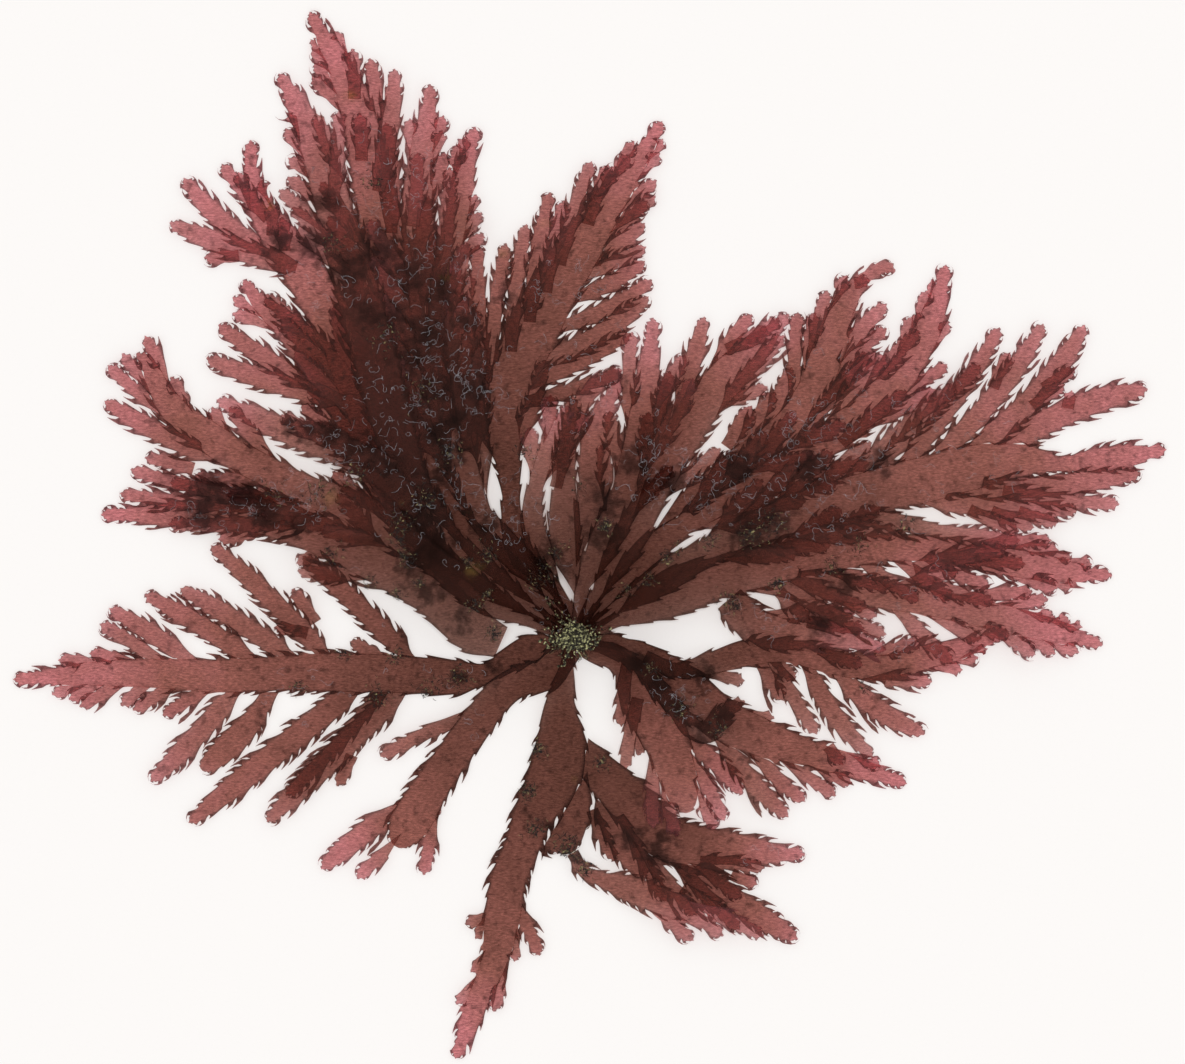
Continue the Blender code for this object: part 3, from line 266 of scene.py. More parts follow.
            (1.2, 35.2, 2.8, 39.8, 0.7), (2.6, 37.0, 3.6, 39.7, 0.4), (3.5, 38.2, 4.6, 40.7, 0.5),
            (4.4, 39.5, 5.0, 41.8, 0.4), (3.9, 36.8, 6.9, 38.5, 0.8), (3.0, 35.4, 6.8, 37.2, 0.8),
            (2.4, 34.2, 6.1, 36.8, 1.2), (1.4, 32.4, 5.9, 34.9, 1.6), (0.8, 30.9, 6.0, 32.9, 1.4),
            (-0.6, 29.2, 5.9, 31.7, 1.5, 0.1), (-1.6, 26.4, 6.5, 30.1, 1.5, 0.1),
            (-2.9, 23.4, 6.2, 28.7, 1.9, 0.1), (-4.0, 21.6, 4.7, 25.6, 1.5), (-4.4, 19.8, 3.9, 22.4, 1.3),
            (5.3, 39.6, 7.1, 40.9, 0.5), (6.1, 41.0, 7.4, 42.0, 0.35),
        ],
        "fill": (0.3, 0.5, 7.0),
    }],
    "frond_northwest_1": [{
        "line": [
            (-1.7, 1.75, 0.35), (-3.7, 3.7, 0.9), (-6.2, 6.1, 1.5), (-9.4, 9.2, 2.4), (-11.9, 13.5, 3.2),
            (-13.1, 18.0, 3.6), (-14.0, 23.0, 3.8), (-14.9, 28.0, 3.8), (-15.9, 33.0, 3.8),
            (-16.9, 37.5, 3.5), (-17.7, 41.5, 3.1), (-18.6, 45.0, 2.8), (-19.8, 48.0, 2.2),
            (-21.1, 50.4, 1.5), (-22.4, 52.7, 0.0),
        ],
        "sides": [
            (-19.4, 45.4, -22.2, 47.3, 0.9), (-19.9, 47.0, -22.0, 48.4, 0.6),
            (-20.6, 48.6, -22.2, 49.6, 0.35), (-21.3, 49.6, -22.3, 50.4, 0.3),
            (-17.6, 43.2, -17.3, 48.8, 1.4), (-18.6, 45.8, -18.8, 49.6, 0.9),
            (-19.4, 48.0, -19.4, 49.4, 0.4), (-20.4, 49.2, -20.3, 51.1, 0.4),
            (-16.5, 38.0, -15.2, 47.9, 1.8), (-15.5, 34.5, -16.0, 43.4, 1.7),
            (-18.0, 40.6, -18.2, 44.2, 1.4),
        ],
        "fill": (0.3, 0.7, 6.0),
    }],
    "frond_northwest_3": [{
        "line": [
            (-2.35, 0.8, 0.35), (-4.8, 1.9, 0.9), (-8.4, 3.9, 1.5), (-12.6, 8.2, 2.5), (-15.7, 13.6, 3.0),
            (-17.7, 19.4, 3.4), (-19.8, 25.2, 3.6), (-22.4, 30.0, 3.5), (-25.0, 33.8, 3.0),
            (-26.7, 36.6, 2.0), (-27.3, 39.0, 1.3), (-27.35, 41.9, 0.0),
        ],
        "sides": [
            (-26.2, 35.6, -29.8, 39.9, 1.4), (-25.3, 33.0, -33.0, 38.7, 1.8, 0.12),
            (-23.9, 31.3, -34.2, 34.9, 2.0), (-28.8, 32.1, -31.3, 32.0, 0.4),
            (-26.5, 36.8, -26.5, 38.5, 0.5), (-25.5, 34.3, -25.7, 36.5, 0.7),
            (-24.5, 33.0, -24.7, 35.4, 0.5), (-27.2, 37.0, -28.4, 39.2, 0.7),
        ],
        "fill": (0.3, 0.7, 6.0),
    }, {
        "line": [
            (-9.6, 4.8, 1.4), (-13.6, 8.4, 2.4), (-16.6, 13.8, 3.0), (-19.0, 19.2, 3.5),
            (-21.6, 23.3, 3.3), (-24.3, 26.2, 2.4), (-26.6, 28.2, 1.5), (-28.0, 30.1, 0.0),
        ],
        "sides": [
            (-26.9, 27.9, -28.9, 28.6, 0.4), (-26.0, 26.5, -28.9, 27.3, 0.8),
            (-21.6, 21.7, -30.1, 26.3, 1.7), (-20.0, 20.0, -31.1, 23.5, 1.9),
        ],
        "fill": (0.2, 0.7, 5.0),
    }],
    "frond_east_1": [{
        "line": [
            (2.0, 1.35, 0.35), (4.3, 3.0, 0.9), (7.5, 5.0, 1.4), (11.0, 7.1, 2.2), (15.0, 9.0, 2.9),
            (20.0, 10.9, 3.4), (25.0, 12.2, 3.6), (30.0, 13.4, 3.9), (34.0, 14.4, 3.7), (38.0, 14.9, 2.6),
            (41.0, 14.6, 1.3), (44.0, 14.9, 2.0), (47.0, 15.3, 1.9), (49.9, 15.8, 0.0),
        ],
        "sides": [
            (36.6, 16.3, 48.3, 20.9, 2.3, 0.12), (34.0, 16.2, 43.0, 26.3, 2.1, -0.12),
            (31.0, 15.4, 39.5, 26.4, 1.9, -0.08), (27.9, 14.6, 35.8, 26.1, 1.7, -0.06),
            (25.4, 14.0, 34.2, 22.9, 1.3), (23.5, 13.6, 32.1, 21.2, 1.3), (33.3, 12.6, 47.7, 13.8, 2.0),
            (30.0, 11.7, 42.4, 10.7, 1.8), (36.5, 12.2, 45.9, 11.2, 1.2), (35.5, 10.4, 38.7, 9.2, 0.6),
            (37.8, 10.4, 40.7, 9.6, 0.6), (33.6, 10.5, 37.4, 8.9, 0.7), (39.9, 21.2, 42.2, 22.6, 0.5),
            (38.9, 19.7, 41.3, 21.3, 0.5), (41.6, 19.7, 41.9, 20.8, 0.5), (35.4, 21.4, 36.7, 24.0, 0.5),
        ],
        "fill": (0.22, 0.5, 5.5),
    }, {
        "line": [
            (22.0, 10.4, 1.6), (27.0, 9.7, 1.5), (30.8, 8.9, 1.1), (34.5, 8.5, 1.0), (37.5, 8.1, 0.0),
        ],
    }],
    "frond_northeast_upper": [{
        "line": [
            (1.1, 2.25, 0.35), (2.6, 4.9, 0.9), (4.6, 8.4, 1.7), (6.6, 12.3, 2.6), (8.7, 16.3, 3.1),
            (10.8, 19.7, 3.3), (13.4, 22.5, 3.1), (15.8, 24.9, 2.2), (18.0, 27.2, 0.0),
        ],
        "sides": [
            (12.2, 22.8, 14.9, 27.2, 1.5), (9.0, 19.3, 10.9, 27.0, 1.7, -0.03),
            (14.9, 25.0, 17.2, 26.9, 0.9), (12.2, 19.6, 17.6, 25.4, 1.6), (12.6, 20.4, 16.2, 21.1, 0.7),
            (13.0, 16.4, 14.9, 19.5, 1.7), (13.2, 24.4, 16.2, 26.2, 0.9),
        ],
        "fill": (0.35, 0.8, 5.0),
    }],
    "frond_north_northwest": [{
        "line": [
            (-1.15, 2.1, 0.35), (-2.7, 4.6, 0.8), (-5.2, 7.0, 1.2), (-8.0, 10.4, 2.0), (-10.0, 16.0, 2.9),
            (-11.3, 22.0, 3.2), (-12.2, 27.0, 3.2), (-12.9, 32.0, 3.0), (-13.3, 36.5, 2.6),
            (-12.9, 41.0, 2.0), (-12.4, 44.0, 1.5), (-12.2, 46.6, 0.0),
        ],
        "sides": [
            (-12.5, 37.0, -11.0, 40.9, 1.1), (-13.6, 35.0, -13.3, 40.8, 1.4),
            (-11.8, 31.0, -10.6, 39.6, 1.5), (-12.0, 41.8, -11.1, 44.0, 0.4),
            (-12.3, 40.7, -11.2, 42.7, 0.5), (-13.3, 41.5, -13.9, 43.7, 0.4),
        ],
        "fill": (0.3, 0.7, 6.0),
    }, {
        "line": [
            (-11.6, 24.0, 1.6), (-11.2, 29.0, 2.0), (-10.5, 33.0, 2.0), (-9.8, 36.5, 1.9),
            (-9.3, 39.5, 1.8), (-8.4, 43.0, 0.0),
        ],
        "sides": [
            (-9.2, 35.9, -8.3, 37.3, 0.5), (-9.6, 34.0, -7.9, 35.8, 0.5), (-10.0, 32.0, -7.7, 34.0, 0.6),
            (-9.9, 38.5, -9.8, 41.6, 0.4), (-9.5, 40.0, -9.2, 42.2, 0.4),
        ],
    }, {
        "line": [
            (-7.6, 11.0, 1.4), (-8.3, 15.5, 2.2), (-9.1, 21.5, 2.6), (-9.8, 26.5, 2.2),
            (-10.2, 31.6, 0.0),
        ],
    }],
    "frond_northwest_2": [{
        "line": [
            (-2.1, 1.3, 0.35), (-4.5, 2.9, 0.9), (-7.6, 5.2, 1.5), (-11.2, 8.8, 2.5), (-13.8, 13.0, 3.0),
            (-15.5, 18.5, 3.4), (-17.1, 24.5, 3.6), (-18.6, 30.0, 3.6), (-20.0, 35.0, 3.2),
            (-21.3, 39.5, 2.8), (-22.7, 43.2, 2.2), (-23.8, 45.6, 1.6), (-25.0, 47.5, 0.0),
        ],
        "sides": [
            (-22.9, 42.9, -24.1, 44.2, 0.5), (-22.4, 41.4, -24.4, 42.9, 0.7),
            (-21.9, 39.8, -24.2, 40.4, 0.6), (-21.3, 37.4, -24.2, 38.8, 1.1),
            (-20.8, 35.2, -24.9, 37.7, 1.3), (-20.0, 32.8, -23.8, 36.2, 1.4),
            (-19.6, 31.0, -23.3, 34.6, 1.2), (-20.7, 39.0, -21.8, 44.1, 1.5),
            (-20.3, 37.5, -19.9, 44.3, 1.2),
        ],
    }],
    "frond_north_northeast": [{
        "line": [
            (0.35, 2.4, 0.35), (0.8, 4.6, 0.8), (2.3, 7.6, 1.2), (3.9, 11.2, 2.2), (5.1, 15.5, 2.4),
            (5.8, 19.5, 2.2), (6.3, 23.5, 1.7), (6.6, 26.9, 0.0),
        ],
        "sides": [(4.6, 18.5, 4.8, 25.7, 1.3), (6.6, 17.5, 8.0, 22.4, 1.0), (6.4, 14.5, 9.9, 21.8, 1.5)],
        "fill": (0.3, 0.8, 4.5),
    }, {
        "line": [
            (0.8, 4.4, 0.6), (1.2, 8.0, 1.1), (1.3, 11.5, 1.8), (1.4, 15.5, 2.0), (2.3, 18.8, 1.8),
            (3.8, 21.6, 0.0),
        ],
    }, {
        "line": [
            (0.5, 3.6, 0.5), (-0.6, 6.6, 0.9), (-0.9, 10.0, 1.6), (-0.8, 13.5, 1.6), (-0.5, 16.5, 1.4),
            (0.4, 19.3, 1.4), (1.8, 21.2, 1.3), (4.0, 22.5, 0.0),
        ],
        "sides": [(-1.5, 13.0, -0.2, 20.3, 1.4)],
    }, {
        "line": [
            (-0.1, 5.0, 0.5), (-1.9, 6.7, 0.7), (-3.3, 8.4, 0.8), (-3.6, 10.4, 1.0), (-3.2, 13.0, 1.3),
            (-2.2, 16.0, 1.3), (-0.5, 19.5, 0.0),
        ],
        "fill": (0.4, 0.9, 3.2),
    }],
    "frond_west_northwest_3": [{
        "line": [
            (-6.2, -0.4, 2.8), (-8.8, 0.8, 3.8), (-11.6, 3.3, 3.6), (-15.0, 5.3, 3.4), (-19.0, 7.4, 3.3),
            (-23.0, 9.1, 3.2), (-27.0, 10.1, 2.7), (-31.0, 10.4, 2.3), (-35.0, 10.3, 1.9),
            (-40.0, 10.3, 0.0),
        ],
        "sides": [
            (-26.0, 11.0, -38.4, 12.1, 1.4), (-23.8, 11.2, -37.5, 14.1, 1.4),
            (-32.6, 14.3, -36.3, 15.1, 0.6), (-27.2, 8.9, -30.1, 8.2, 0.7), (-21.8, 7.6, -23.5, 6.2, 0.7),
            (-22.0, 9.9, -34.3, 9.5, 1.5), (-28.0, 12.4, -34.2, 13.0, 1.0),
        ],
        "fill": (0.3, 0.7, 5.0),
    }],
    "frond_west_northwest_2": [{
        "line": [
            (-7.4, 3.2, 1.4), (-13.0, 7.2, 2.4), (-18.0, 10.6, 2.8), (-22.8, 12.5, 2.4),
            (-27.4, 14.7, 2.6), (-31.0, 16.9, 2.7), (-33.6, 18.8, 2.4), (-35.2, 21.2, 1.8),
            (-36.0, 23.0, 1.3), (-37.0, 23.9, 0.5),
        ],
        "sides": [
            (-34.9, 21.6, -36.3, 25.4, 1.1), (-34.6, 20.0, -39.4, 22.9, 1.3),
            (-35.6, 21.6, -38.2, 23.9, 0.8), (-30.4, 15.7, -39.7, 19.9, 1.8),
            (-33.4, 19.4, -34.1, 21.9, 0.6), (-30.2, 17.2, -30.6, 19.4, 0.9),
        ],
        "fill": (0.2, 0.7, 5.0),
    }],
    "frond_west_northwest_1": [{
        "line": [
            (-13.0, 10.6, 1.6), (-16.4, 13.8, 2.2), (-20.2, 15.8, 2.3), (-24.0, 17.2, 2.0),
            (-27.2, 18.7, 1.7), (-30.2, 20.0, 0.0),
        ],
        "sides": [(-15.5, 14.5, -24.8, 18.7, 1.7)],
    }],
}

# Side blades leave their parent under its margin, open over a short neck and end blunt. Lengths are in
# millimetres, and the others are shares of the blade or shape the curve of its width.
SIDE_SINK = 0.45
SIDE_OVERLAP = 0.03
SIDE_BOW = 0.04
NECK_SHARE = 0.42
NECK_LENGTH = 1.7
LONGEST_NECK = 0.4
NECK_FLARE = 0.2
FLARE_LENGTH = 0.5
CLOSES_FROM = 0.55
CLOSES_OVER = 0.45
CLOSES_LATE = 2.4
CLOSES_BLUNT = 0.6

# A side blade whose base is this near to its parent's margin starts at the margin. A branch does so where
# the length that it shares with its parent is no longer than this, and it keeps at least so many places. A
# midline that starts this near to the middle of the holdfast is led on halfway to it. In millimetres.
MARGIN_WITHIN = 1.0
LONGEST_SHARED = 5.0
LEAST_PLACES = 8
STARTS_WITHIN = 3.5

# Plain blades that fill a margin: how far apart they are, how far they keep from the plan's own, how wide
# they are, and how far they turn from the midline in radians.
FILL_PITCH = 2.8
FILL_CLEAR = 2.0
FILL_WIDTH = 1.5
FILL_ANGLE = 0.42

# Where the floor shows between the fronds, so that no filling blade ends there, as (x, y, radius) in
# millimetres.
GAPS = (
    (-23.5, 15.0, 3.0), (12.6, 18.2, 2.0), (17.9, 21.4, 1.0), (17.1, 19.3, 0.9), (26.8, 1.6, 1.6),
    (31.4, 10.4, 2.4), (-25.0, 21.4, 2.0), (0.6, 15.0, 1.2), (-2.4, 11.0, 1.4),
)

# A blade stays at least so wide until just before its tip, is rounded off over so many of its half widths
# there, and doesn't quite close. Where it leaves a margin it starts slanted, up to this cosine.
TIP_WIDTH = 1.0
TIP_ROUNDED = 1.6
TIP_LEFT = 0.02
LEAST_SLANT = 0.45

# Where the corners of a blade's cells lie between its midline and its margins: the outer ones are narrow,
# so that the dark line along the margin stays thin.
ACROSS = (-1.0, -0.88, 0.0, 0.88, 1.0)

# How high a blade lies above its solid's underside, in millimetres: on the floor, how much higher from a
# height in the stack, and a step more for each of its levels. The underside is read in the middle and at a
# share of the way to both margins, and smoothed along the blade, with steps taken as at least so long.
LIE_ON_FLOOR = 0.05
LIE_IN_STACK = 0.2
STACK_FROM = 0.6
LEVEL_STEP = 0.13
LEVELS = 4
OUTER_ROW = 0.85
HEIGHT_SPREAD = 1.3
SHORTEST_STEP = 0.05

# How long a wave of the ruffled margins is, from and to, in millimetres.
WAVE_LENGTHS = (2.5, 4.5)

# The margin rises over a few cells to the shoulder of each tooth and falls back behind it. The tooth grows
# forward from there: how far forward and out its outer edge is as shares of its length, and how much of its
# base is left of its breadth.
OPEN_TOOTH = ((0.34, 0.05, 0.5), (0.72, 0.1, 0.26), (1.15, 0.13, 0.04))
CLOSED_TOOTH = ((0.35, 0.1, 0.36), (0.8, 0.06, 0.26), (1.25, -0.22, 0.1))
LEAFY_TOOTH = ((0.28, 0.1, 0.5), (0.72, 0.2, 0.75), (1.05, 0.2, 0.1))
TOOTH_RIM = 0.6
RISES_LATE = 1.5
TIP_IS_SMOOTH = 0.45
YOUNG_SLIMMER = 0.06
LEAFY_SHARE = 0.08
LEAFY_LENGTH = 2.0
CLEAR_OF_BASES = 0.8

# Teeth vary in pitch and size. They are finer within a distance of a young tip, and blunter and further
# apart within a distance of the holdfast.
PITCH_VARIES = (0.55, 1.45)
SIZE_VARIES = (0.45, 1.45)
YOUNG_WITHIN = 3.0
YOUNG_PITCH = 0.66
YOUNG_SIZE = 0.8
OLD_WITHIN = 13.0
OLD_PITCH = 1.4
OLD_SIZE = 0.6

# How many surfaces the light passes on its way through one blade to the floor and back, what each scatters
# back for each unit of its share and colour, and of white gloss, and the least that it lets through.
SURFACES = 4
SCATTERED = 1.3
GLOSS = 0.02
LEAST_PASSED = 0.1

# How much broader the thin blades are than the plan's, and how much more so the stems are between two
# distances from the holdfast. In millimetres.
BROADER = -0.1
SIDE_BROADER = -0.32
BROAD_STEMS = 1.3
BROAD_FROM = 3.4
BROAD_UNTIL = 13.0
SLIM_STEMS = (
    "frond_west", "frond_southwest", "frond_south", "frond_folded_strap", "frond_east_low",
    "frond_west_northwest_3",
)

# A frond turns from old brown to young rose over its reach, which lies between its own and the usual one,
# and most of all over the last stretch before a pointed tip. A side blade is younger towards its own tip,
# and the more so the further out it ends. Some fronds are younger or older than their place.
USUAL_REACH = 46.0
YOUNG_LENGTH = 9.0
SIDE_FADES = 0.3
OUTER_FADES = 0.6
FADES_OUT = 1.5
FADES_ALONG = 0.8
AGE_SHIFTS = {
    "frond_southeast_1": -0.2, "frond_southeast_2": -0.06, "frond_east_2": -0.06, "frond_north": 0.12,
    "frond_west_northwest_1": 0.1, "frond_west_northwest_2": 0.1, "frond_west_northwest_3": 0.08,
    "frond_east_1": 0.08, "frond_south": 0.08, "frond_northwest_1": 0.08, "frond_northwest_2": 0.08,
    "frond_north_northwest": 0.12,
}

# Stains that darken the blades, and tan spots, as (x, y, radius) in millimetres.
STAINS = (
    (-24.0, 17.6, 1.2), (-22.4, 17.4, 1.5), (-20.6, 16.8, 1.6), (-18.8, 16.0, 1.6), (-17.0, 15.2, 1.6),
    (-15.4, 14.4, 1.4), (-30.5, 12.8, 2.4), (-28.0, 12.0, 2.4), (-31.5, 10.4, 2.2), (-26.0, 10.0, 2.0),
    (-23.6, 8.8, 1.4), (-12.4, 3.8, 2.0), (-13.6, 6.2, 2.2), (-11.6, 7.8, 2.6), (-12.6, 10.6, 2.6),
    (-11.6, 13.4, 2.0), (-12.0, 17.0, 1.6), (-13.8, 23.4, 2.2), (-11.8, 21.0, 2.0), (-10.2, 18.4, 1.6),
    (-12.6, 25.6, 2.0), (-16.6, 32.6, 2.4), (-22.2, 33.0, 2.2), (-25.2, 33.4, 1.6), (-19.4, 30.6, 2.4),
    (-14.0, 30.6, 2.2), (-15.2, 27.0, 2.0), (-18.0, 27.4, 1.8), (-21.4, 36.4, 2.0), (-11.4, 29.0, 1.8),
    (-9.2, 26.6, 1.4), (-5.8, 28.6, 1.4), (-8.4, 21.0, 1.8), (-10.4, 15.4, 1.8), (-7.4, 9.4, 1.8),
    (-2.8, 6.0, 1.6), (-1.2, 5.2, 1.4), (-2.0, 7.2, 1.6), (2.4, 8.8, 2.4), (2.6, 11.6, 2.4),
    (4.6, 14.6, 2.0), (14.0, 14.4, 2.2), (8.4, 13.0, 1.8), (20.0, 14.4, 2.0), (25.8, 14.8, 1.6),
    (14.6, 8.6, 2.2), (17.0, 9.6, 2.2), (5.4, -2.0, 1.4), (7.2, -3.8, 1.4), (9.0, -5.8, 1.4),
    (10.6, -8.2, 1.8), (12.6, -6.4, 1.4), (11.0, -3.2, 1.6), (20.6, 1.0, 2.0), (22.6, 4.6, 1.8),
    (-7.0, -2.6, 1.4), (-9.6, -3.4, 1.2), (-9.4, 1.6, 1.6), (-2.8, -15.6, 1.2), (0.4, -18.2, 1.6),
    (7.4, -17.6, 2.4), (4.4, -17.2, 1.4),
)
TAN_SPOTS = (
    (-20.6, 11.8, 1.1), (-17.8, 17.7, 0.4), (-21.2, 44.2, 0.9), (-25.8, 36.4, 0.7), (-2.6, 34.8, 0.8),
    (-6.1, 32.4, 0.7), (-8.6, 5.6, 1.0), (-12.9, -12.6, 0.8), (-14.4, 11.4, 0.6), (-19.0, 45.6, 0.8),
    (-10.8, 30.2, 0.5), (-0.2, -12.0, 0.6), (-15.6, 2.2, 0.7),
)


def linear(code):
    """The linear colour of an sRGB hex code."""
    shares = [int(code[i:i + 2], 16) / 255 for i in (1, 3, 5)]
    return tuple(s / 12.92 if s <= 0.04045 else ((s + 0.055) / 1.055) ** 2.4 for s in shares)


class MembraneSettings(bpy.types.PropertyGroup):
    """Sizes and colours of the fronds."""

    thickness: bpy.props.FloatProperty(
        name="Thickness", description="How thick a dried blade is", default=0.12 * MM, unit="LENGTH",
    )
    cell: bpy.props.FloatProperty(
        name="Cell", description="Length of a blade's cells along its midline", default=0.3 * MM,
        unit="LENGTH",
    )
    tooth_length: bpy.props.FloatProperty(
        name="Tooth length", description="How far a usual tooth grows forward", default=0.72 * MM,
        unit="LENGTH",
    )
    shoulder: bpy.props.FloatProperty(
        name="Shoulder", description="How far the margin rises to a tooth", default=0.3 * MM, unit="LENGTH",
    )
    tooth_pitch: bpy.props.FloatProperty(
        name="Tooth pitch", description="How far apart the teeth of the margin are", default=1.3 * MM,
        unit="LENGTH",
    )
    ruffle: bpy.props.FloatProperty(
        name="Ruffle", description="How far the margins rise and fall", default=0.05 * MM, unit="LENGTH",
    )
    young: bpy.props.FloatVectorProperty(
        name="Young tip", description="One blade over the floor at its tip", default=linear("#B27072"),
        subtype="COLOR", min=0, max=1,
    )
    grown: bpy.props.FloatVectorProperty(
        name="Grown blade", description="One blade over the floor at mid length", default=linear("#8A574E"),
        subtype="COLOR", min=0, max=1,
    )
    old: bpy.props.FloatVectorProperty(
        name="Old blade", description="One blade over the floor near the holdfast", default=linear("#5C3930"),
        subtype="COLOR", min=0, max=1,
    )
    own_share: bpy.props.FloatProperty(
        name="Own share", description="Share of the light that a blade's surface scatters back", default=0.15,
        min=0, max=1,
    )
    stain: bpy.props.FloatProperty(
        name="Stain", description="How much light a stain takes from each surface", default=0.38,
        min=0, max=1,
    )
    tan: bpy.props.FloatVectorProperty(
        name="Tan", description="Colour of the tan spots", default=linear("#A8894F"), subtype="COLOR",
        min=0, max=1,
    )


class HoldfastSettings(bpy.types.PropertyGroup):
    """Sizes and colours of the rooting tuft."""

    length: bpy.props.FloatProperty(
        name="Length", description="How long the tuft is", default=4.4 * MM, unit="LENGTH",
    )
    width: bpy.props.FloatProperty(
        name="Width", description="How wide the tuft is", default=3.0 * MM, unit="LENGTH",
    )
    filaments: bpy.props.IntProperty(
        name="Filaments", description="How many filaments stand out of the tuft", default=500, min=0,
    )
    grains: bpy.props.IntProperty(
        name="Grains", description="How many grains sit on the tuft", default=450, min=0,
    )
    dark: bpy.props.FloatVectorProperty(
        name="Dark", description="Colour of most of the tuft", default=linear("#221E16"), subtype="COLOR",
        min=0, max=1,
    )
    light: bpy.props.FloatVectorProperty(
        name="Light", description="Colour of the specks on the tuft", default=linear("#C9C793"),
        subtype="COLOR", min=0, max=1,
    )


class GrowthSettings(bpy.types.PropertyGroup):
    """Sizes and colours of the growths on the old margins."""

    length: bpy.props.FloatProperty(
        name="Length", description="How long a filament of a growth is", default=0.3 * MM, unit="LENGTH",
    )
    diameter: bpy.props.FloatProperty(
        name="Diameter", description="How thick a filament of a growth is", default=0.07 * MM, unit="LENGTH",
    )
    dark: bpy.props.FloatVectorProperty(
        name="Dark", description="Colour of most of the growths", default=linear("#1B1716"),
        subtype="COLOR", min=0, max=1,
    )
    light: bpy.props.FloatVectorProperty(
        name="Light", description="Colour of their specks", default=linear("#A59A6C"), subtype="COLOR",
        min=0, max=1,
    )


class LintSettings(bpy.types.PropertyGroup):
    """Sizes and colours of the lint on the plant."""

    length: bpy.props.FloatProperty(
        name="Length", description="How long a usual fibre is", default=1.2 * MM, unit="LENGTH",
    )
    diameter: bpy.props.FloatProperty(
        name="Diameter", description="How thick a fibre is", default=0.019 * MM, unit="LENGTH",
    )
    amount: bpy.props.FloatProperty(
        name="Amount", description="How many fibres lie there for each one in the plan", default=1.3, min=0,
    )
    pale: bpy.props.FloatVectorProperty(
        name="Pale", description="Colour of the fibres", default=linear("#B4B7BF"), subtype="COLOR",
        min=0, max=1,
    )


class StageSettings(bpy.types.PropertyGroup):
    """The floor, the light and the camera."""

    floor: bpy.props.FloatVectorProperty(
        name="Floor", description="Colour of the floor", default=linear("#F4F1EF"), subtype="COLOR",
        min=0, max=1,
    )
    lamp: bpy.props.FloatProperty(
        name="Lamp", description="Power of the lamp above, in watts", default=15.0, min=0,
    )
    around: bpy.props.FloatProperty(
        name="Around", description="Strength of the light from all round", default=0.5, min=0,
    )
    field: bpy.props.FloatProperty(
        name="Field", description="Width of the picture at the plant", default=99.8 * MM, unit="LENGTH",
    )


def smooth_line(points, step):
    """The midline through the plan's points as (x, y, width), with places about a step apart."""
    knots = [2 * points[0] - points[1], *points, 2 * points[-1] - points[-2]]
    places = []
    for before, start, end, after in zip(knots, knots[1:], knots[2:], knots[3:]):
        count = max(1, round((end - start).xy.length / step))
        for index in range(count):
            t = index / count
            places.append(
                0.5 * (
                    2 * start
                    + (end - before) * t
                    + (2 * before - 5 * start + 4 * end - after) * t**2
                    + (3 * start - before - 3 * end + after) * t**3
                )
            )
    places.append(knots[-2])
    return places


def nearest(places, spot):
    """The index of the place that is nearest to a spot."""
    return min(range(len(places)), key=lambda index: (places[index] - spot).length)


def side_line(side, parent, step):
    """The bowed midline of a side blade: it leaves its parent over a narrow neck and bends to its tip.

    Where it starts at its parent's margin, the margin's direction comes with it, and otherwise None.
    """
    base = Vector(side[0:2])
    tip = Vector(side[2:4])
    width = side[4]
    bow = side[5] if len(side) > 5 else SIDE_BOW
    beside = nearest(parent.places, base)
    ahead = parent.ahead[beside]
    out = parent.across[beside]
    if out.dot(base - parent.places[beside]) < 0:
        out = -out
    margin = parent.places[beside] + out * (parent.half[beside] - SIDE_OVERLAP)
    along = None
    if (margin - base).length < MARGIN_WITHIN and out.dot(tip - base) > 0:
        base = margin
        along = ahead
    chord = tip - base
    across = Vector((chord.y, -chord.x))
    if across.dot(ahead) > 0:
        across = -across
    bend = base + chord / 2 + across * bow
    start = base if along else base - (bend - base).normalized() * SIDE_SINK
    count = max(4, round(chord.length / step))
    neck = min(NECK_LENGTH / chord.length, LONGEST_NECK)
    places = []
    for index in range(count + 1):
        t = index / count
        place = start * (1 - t) ** 2 + 2 * bend * t * (1 - t) + tip * t**2
        opening = NECK_SHARE + (1 - NECK_SHARE) * math.sin(min(t / neck, 1) * math.pi / 2)
        closing = (1 - max((t - CLOSES_FROM) / CLOSES_OVER, 0) ** CLOSES_LATE) ** CLOSES_BLUNT
        flare = NECK_FLARE * max(1 - t * chord.length / FLARE_LENGTH, 0) ** 2 if along else 0.0
        places.append(Vector((*place, (width + SIDE_BROADER) * opening * closing + flare)))
    return places, along


def from_margin(line, parent):
    """A branch's midline from where it leaves its parent, and the direction of the parent's margin there."""
    for first, place in enumerate(line[:-LEAST_PLACES]):
        beside = nearest(parent.places, place.xy)
        if (place.xy - parent.places[beside]).length > parent.half[beside] - SIDE_OVERLAP:
            break
    if first == 0 or (line[first] - line[0]).xy.length > LONGEST_SHARED:
        return line, None
    return line[first:], parent.ahead[beside]


